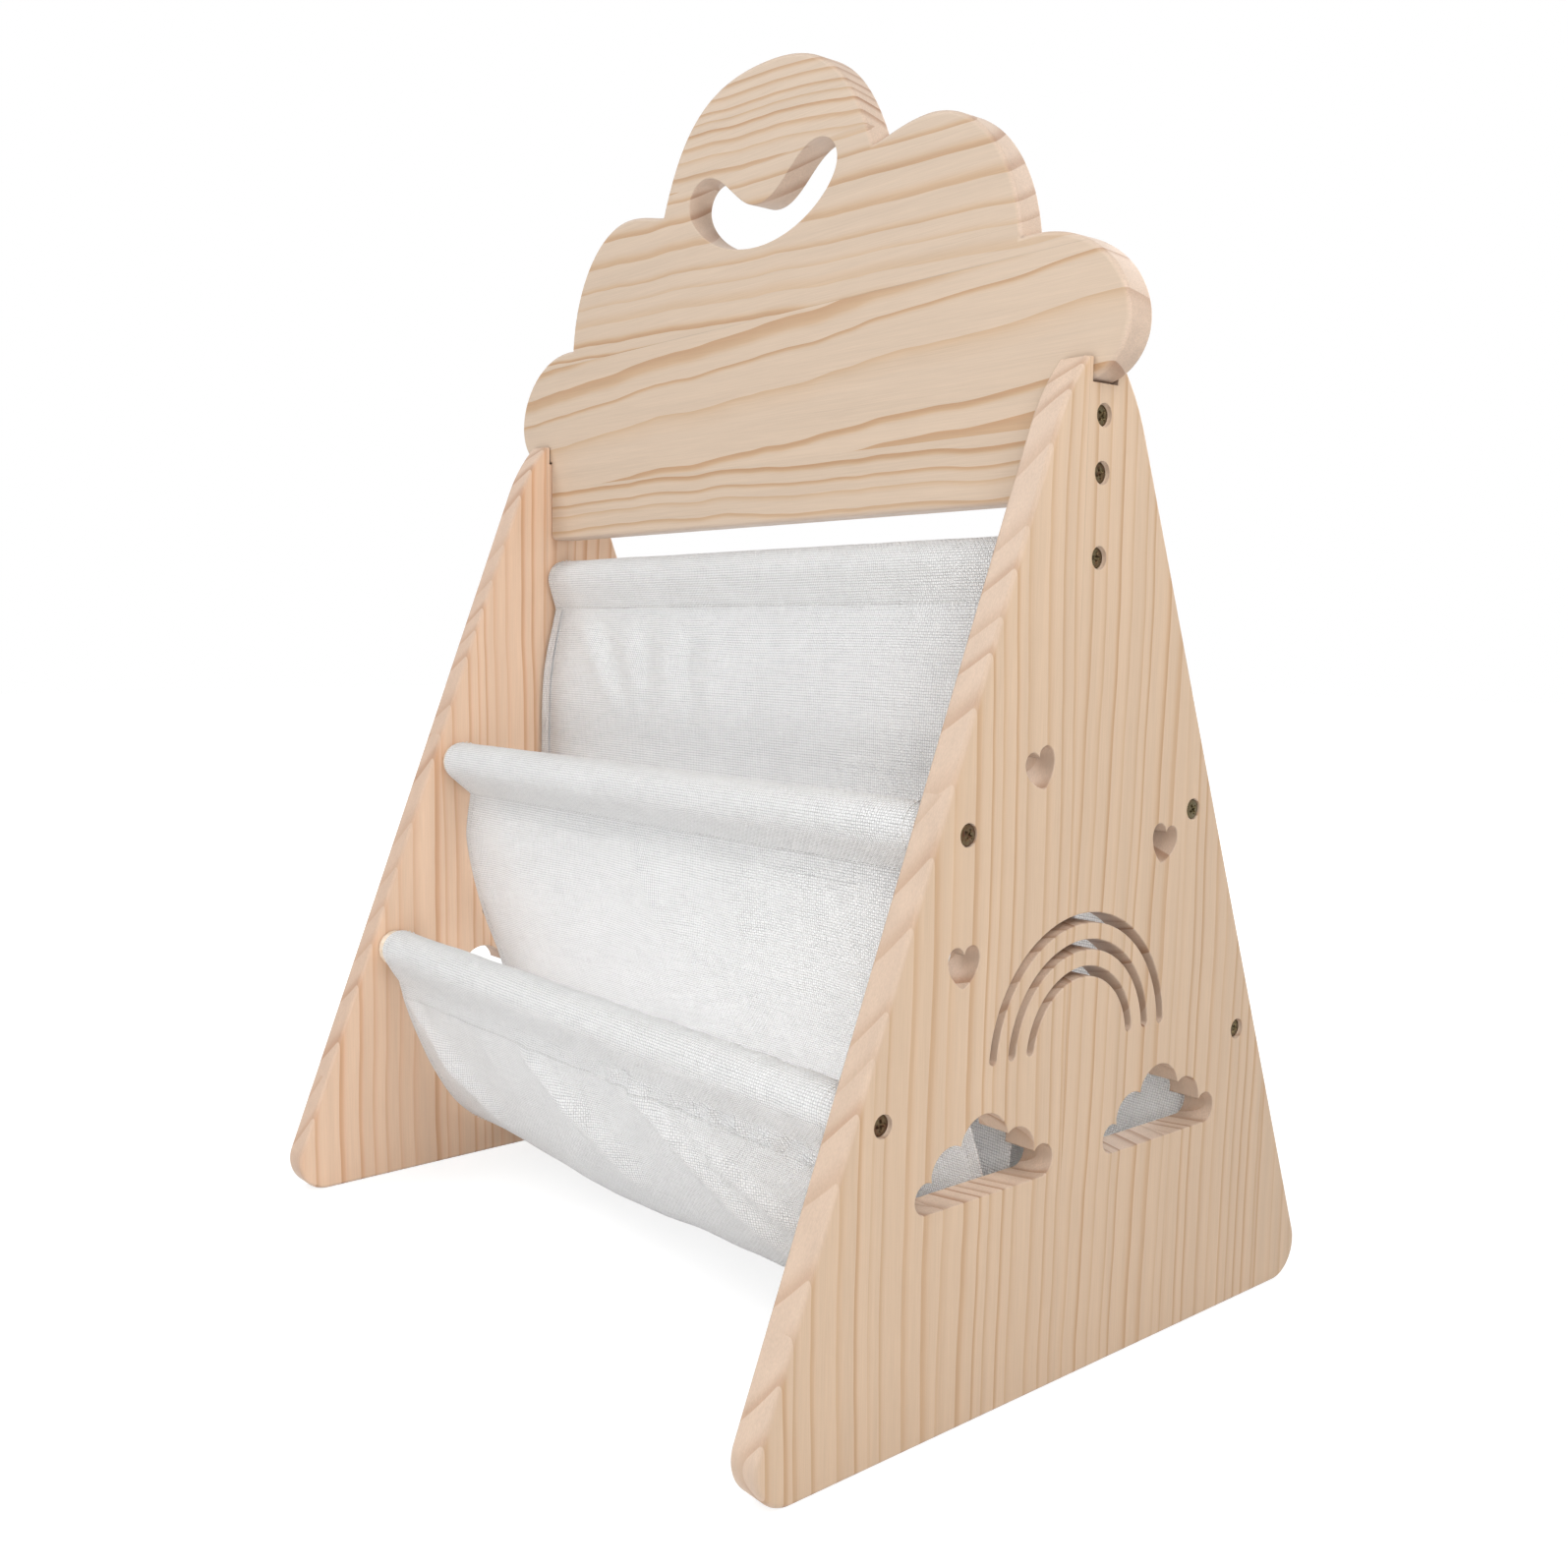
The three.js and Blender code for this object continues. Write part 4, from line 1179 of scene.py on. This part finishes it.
def add_top_sleeve(materials):
    ring = rod_loop(TOP_ROD, TOP_SEAM)
    half = ring[ring[:, 0] <= 0]
    front = np.vstack([straight(TOP_SEAM, half[0])[:-1], half])
    back = front[::-1] * (-1, 1)
    line = np.vstack([front, back[1:], straight(back[-1], TOP_SEAM)[1:]])
    far_seam = run_along(line)[len(front) + len(back) - 2]

    def lift(x, s):
        loose = ramp(s) * ramp(far_seam - s)
        height = loose * (0.1 + 0.1 * ruffle(x, s, 90, 80) + 0.04 * ruffle(x, s, 20, 81))
        near_seam = np.maximum(bell(s), bell(s - far_seam))
        return height + near_seam * ruffle(x, s, 12, 82) * 0.08

    sheet = Sheet(lambda x: line, (-220, 220), 1, lift)
    seams = [(-219, s, 219, s) for s in (1.2, far_seam - 1.2)]
    seams += sheet.side_seams(3, far_seam - 3)
    add_sheet(
        "top_sleeve_cloth", "top_rod_sleeve", "top_sleeve_stitches",
        sheet, seams, materials,
    )


def add_cloth():
    materials = canvas("white_canvas"), thread("white_thread")
    add_top_sleeve(materials)
    add_pocket("front", materials)
    add_pocket("back", materials)
    add_lower_sling(materials)


# Studio: pale floor that shows as white, soft lamps and an even sky

def mix_by_view(tree, seen, unseen):
    """One shader where the camera or a gloss sees it, another for its light."""
    path = add_node(tree, "LightPath")
    view = Field(path.outputs["Is Camera Ray"])
    for output in ("Is Glossy Ray", "Is Transmission Ray"):
        view = view.join("MAXIMUM", view, path.outputs[output])
    return add_node(tree, "MixShader", view, unseen.outputs[0], seen.outputs[0]).outputs[0]


def add_floor():
    data = bpy.data.meshes.new("floor")
    corners = [(-8, -8, 0), (8, -8, 0), (8, 8, 0), (-8, 8, 0)]
    data.from_pydata(corners, [], [(0, 1, 2, 3)])
    floor = add_object("floor", data)
    material = bpy.data.materials.new("floor")
    material.use_nodes = True
    tree = material.node_tree
    tree.nodes.remove(tree.nodes["Principled BSDF"])
    bounce = add_node(tree, "BsdfDiffuse", (0.85, 0.85, 0.85))
    shadow = add_node(tree, "BsdfDiffuse", (0.35, 0.35, 0.35))
    reach = add_node(tree, "VectorMath", add_node(tree, "TexCoord").outputs["Object"])
    reach.operation = "LENGTH"
    far = Field(reach.outputs["Value"]).between(0.35, 1.3)
    glow = add_node(tree, "Emission", (1, 1, 1), 0.8 + far * 0.2)
    seen = add_node(tree, "AddShader", shadow.outputs[0], glow.outputs[0])
    feed(tree.nodes["Material Output"], {"Surface": mix_by_view(tree, seen, bounce)})
    data.materials.append(material)


def add_sky(strength):
    world = bpy.data.worlds.new("studio")
    world.use_nodes = True
    tree = world.node_tree
    seen = add_node(tree, "Background", (1, 1, 1), 1)
    unseen = tree.nodes["Background"]
    feed(unseen, {"Color": (1, 1, 1), "Strength": strength})
    feed(tree.nodes["World Output"], {"Surface": mix_by_view(tree, seen, unseen)})
    bpy.context.scene.world = world


# Each square lamp's place, the place it shines at, its size and its power
LAMPS = {
    "top_lamp": ((0.2, -0.2, 1.9), (0, 0, 0.3), 1.4, 1),
    "right_lamp": ((0.9, -0.15, 1.1), (0.2, 0, 0.4), 0.5, 5.2),
    "near_lamp": ((0.95, -0.8, 0.5), (0, 0, 0.25), 0.4, 3.8),
    "left_lamp": ((-0.9, -1.0, 1.5), (0, 0, 0.35), 0.8, 13),
    "front_low_lamp": ((0.02, -0.7, 0.02), (0, -0.1, 0.3), 0.5, 2.2),
    "back_lamp": ((0, 1.9, 1.2), (0, 0, 0.3), 1.2, 22),
}

# Weak strips of light along X in the slings: for the front half, the place and
# the aim as (y, z), the width and the power
FILLS = {
    "fill": ((-0.112, 0.132), (-0.04, 0.15), 0.05, 0.11),
    "pocket_fill": ((-0.06, 0.215), (-0.01, 0.228), 0.12, 0.09),
    "depth_fill": ((-0.048, 0.25), (-0.036, 0.1), 0.03, 0.06),
}
FILL_LENGTH = 0.42


def add_lamp(name, place, target, size, power, length=None):
    data = bpy.data.lights.new(name, "AREA")
    data.shape = "RECTANGLE"
    data.size = length or size
    data.size_y = size
    data.energy = power
    lamp = add_object(name, data)
    lamp.visible_camera = False
    aim = (Vector(target) - Vector(place)).to_track_quat("-Z", "Y")
    lamp.matrix_world = Matrix.Translation(place) @ aim.to_matrix().to_4x4()


def add_studio():
    add_floor()
    add_sky(0.3)
    for name, row in LAMPS.items():
        add_lamp(name, *row)
    for half, turn, share in (("front", 1, 1), ("back", -1, 0.8)):
        for name, ((y, z), (to_y, to_z), width, power) in FILLS.items():
            place, target = (0, turn * y, z), (0, turn * to_y, to_z)
            add_lamp(f"{half}_{name}", place, target, width, power * share, FILL_LENGTH)


add_camera()
add_wood()
add_metal()
add_cloth()
add_studio()

bpy.context.scene.view_settings.view_transform = "Standard"
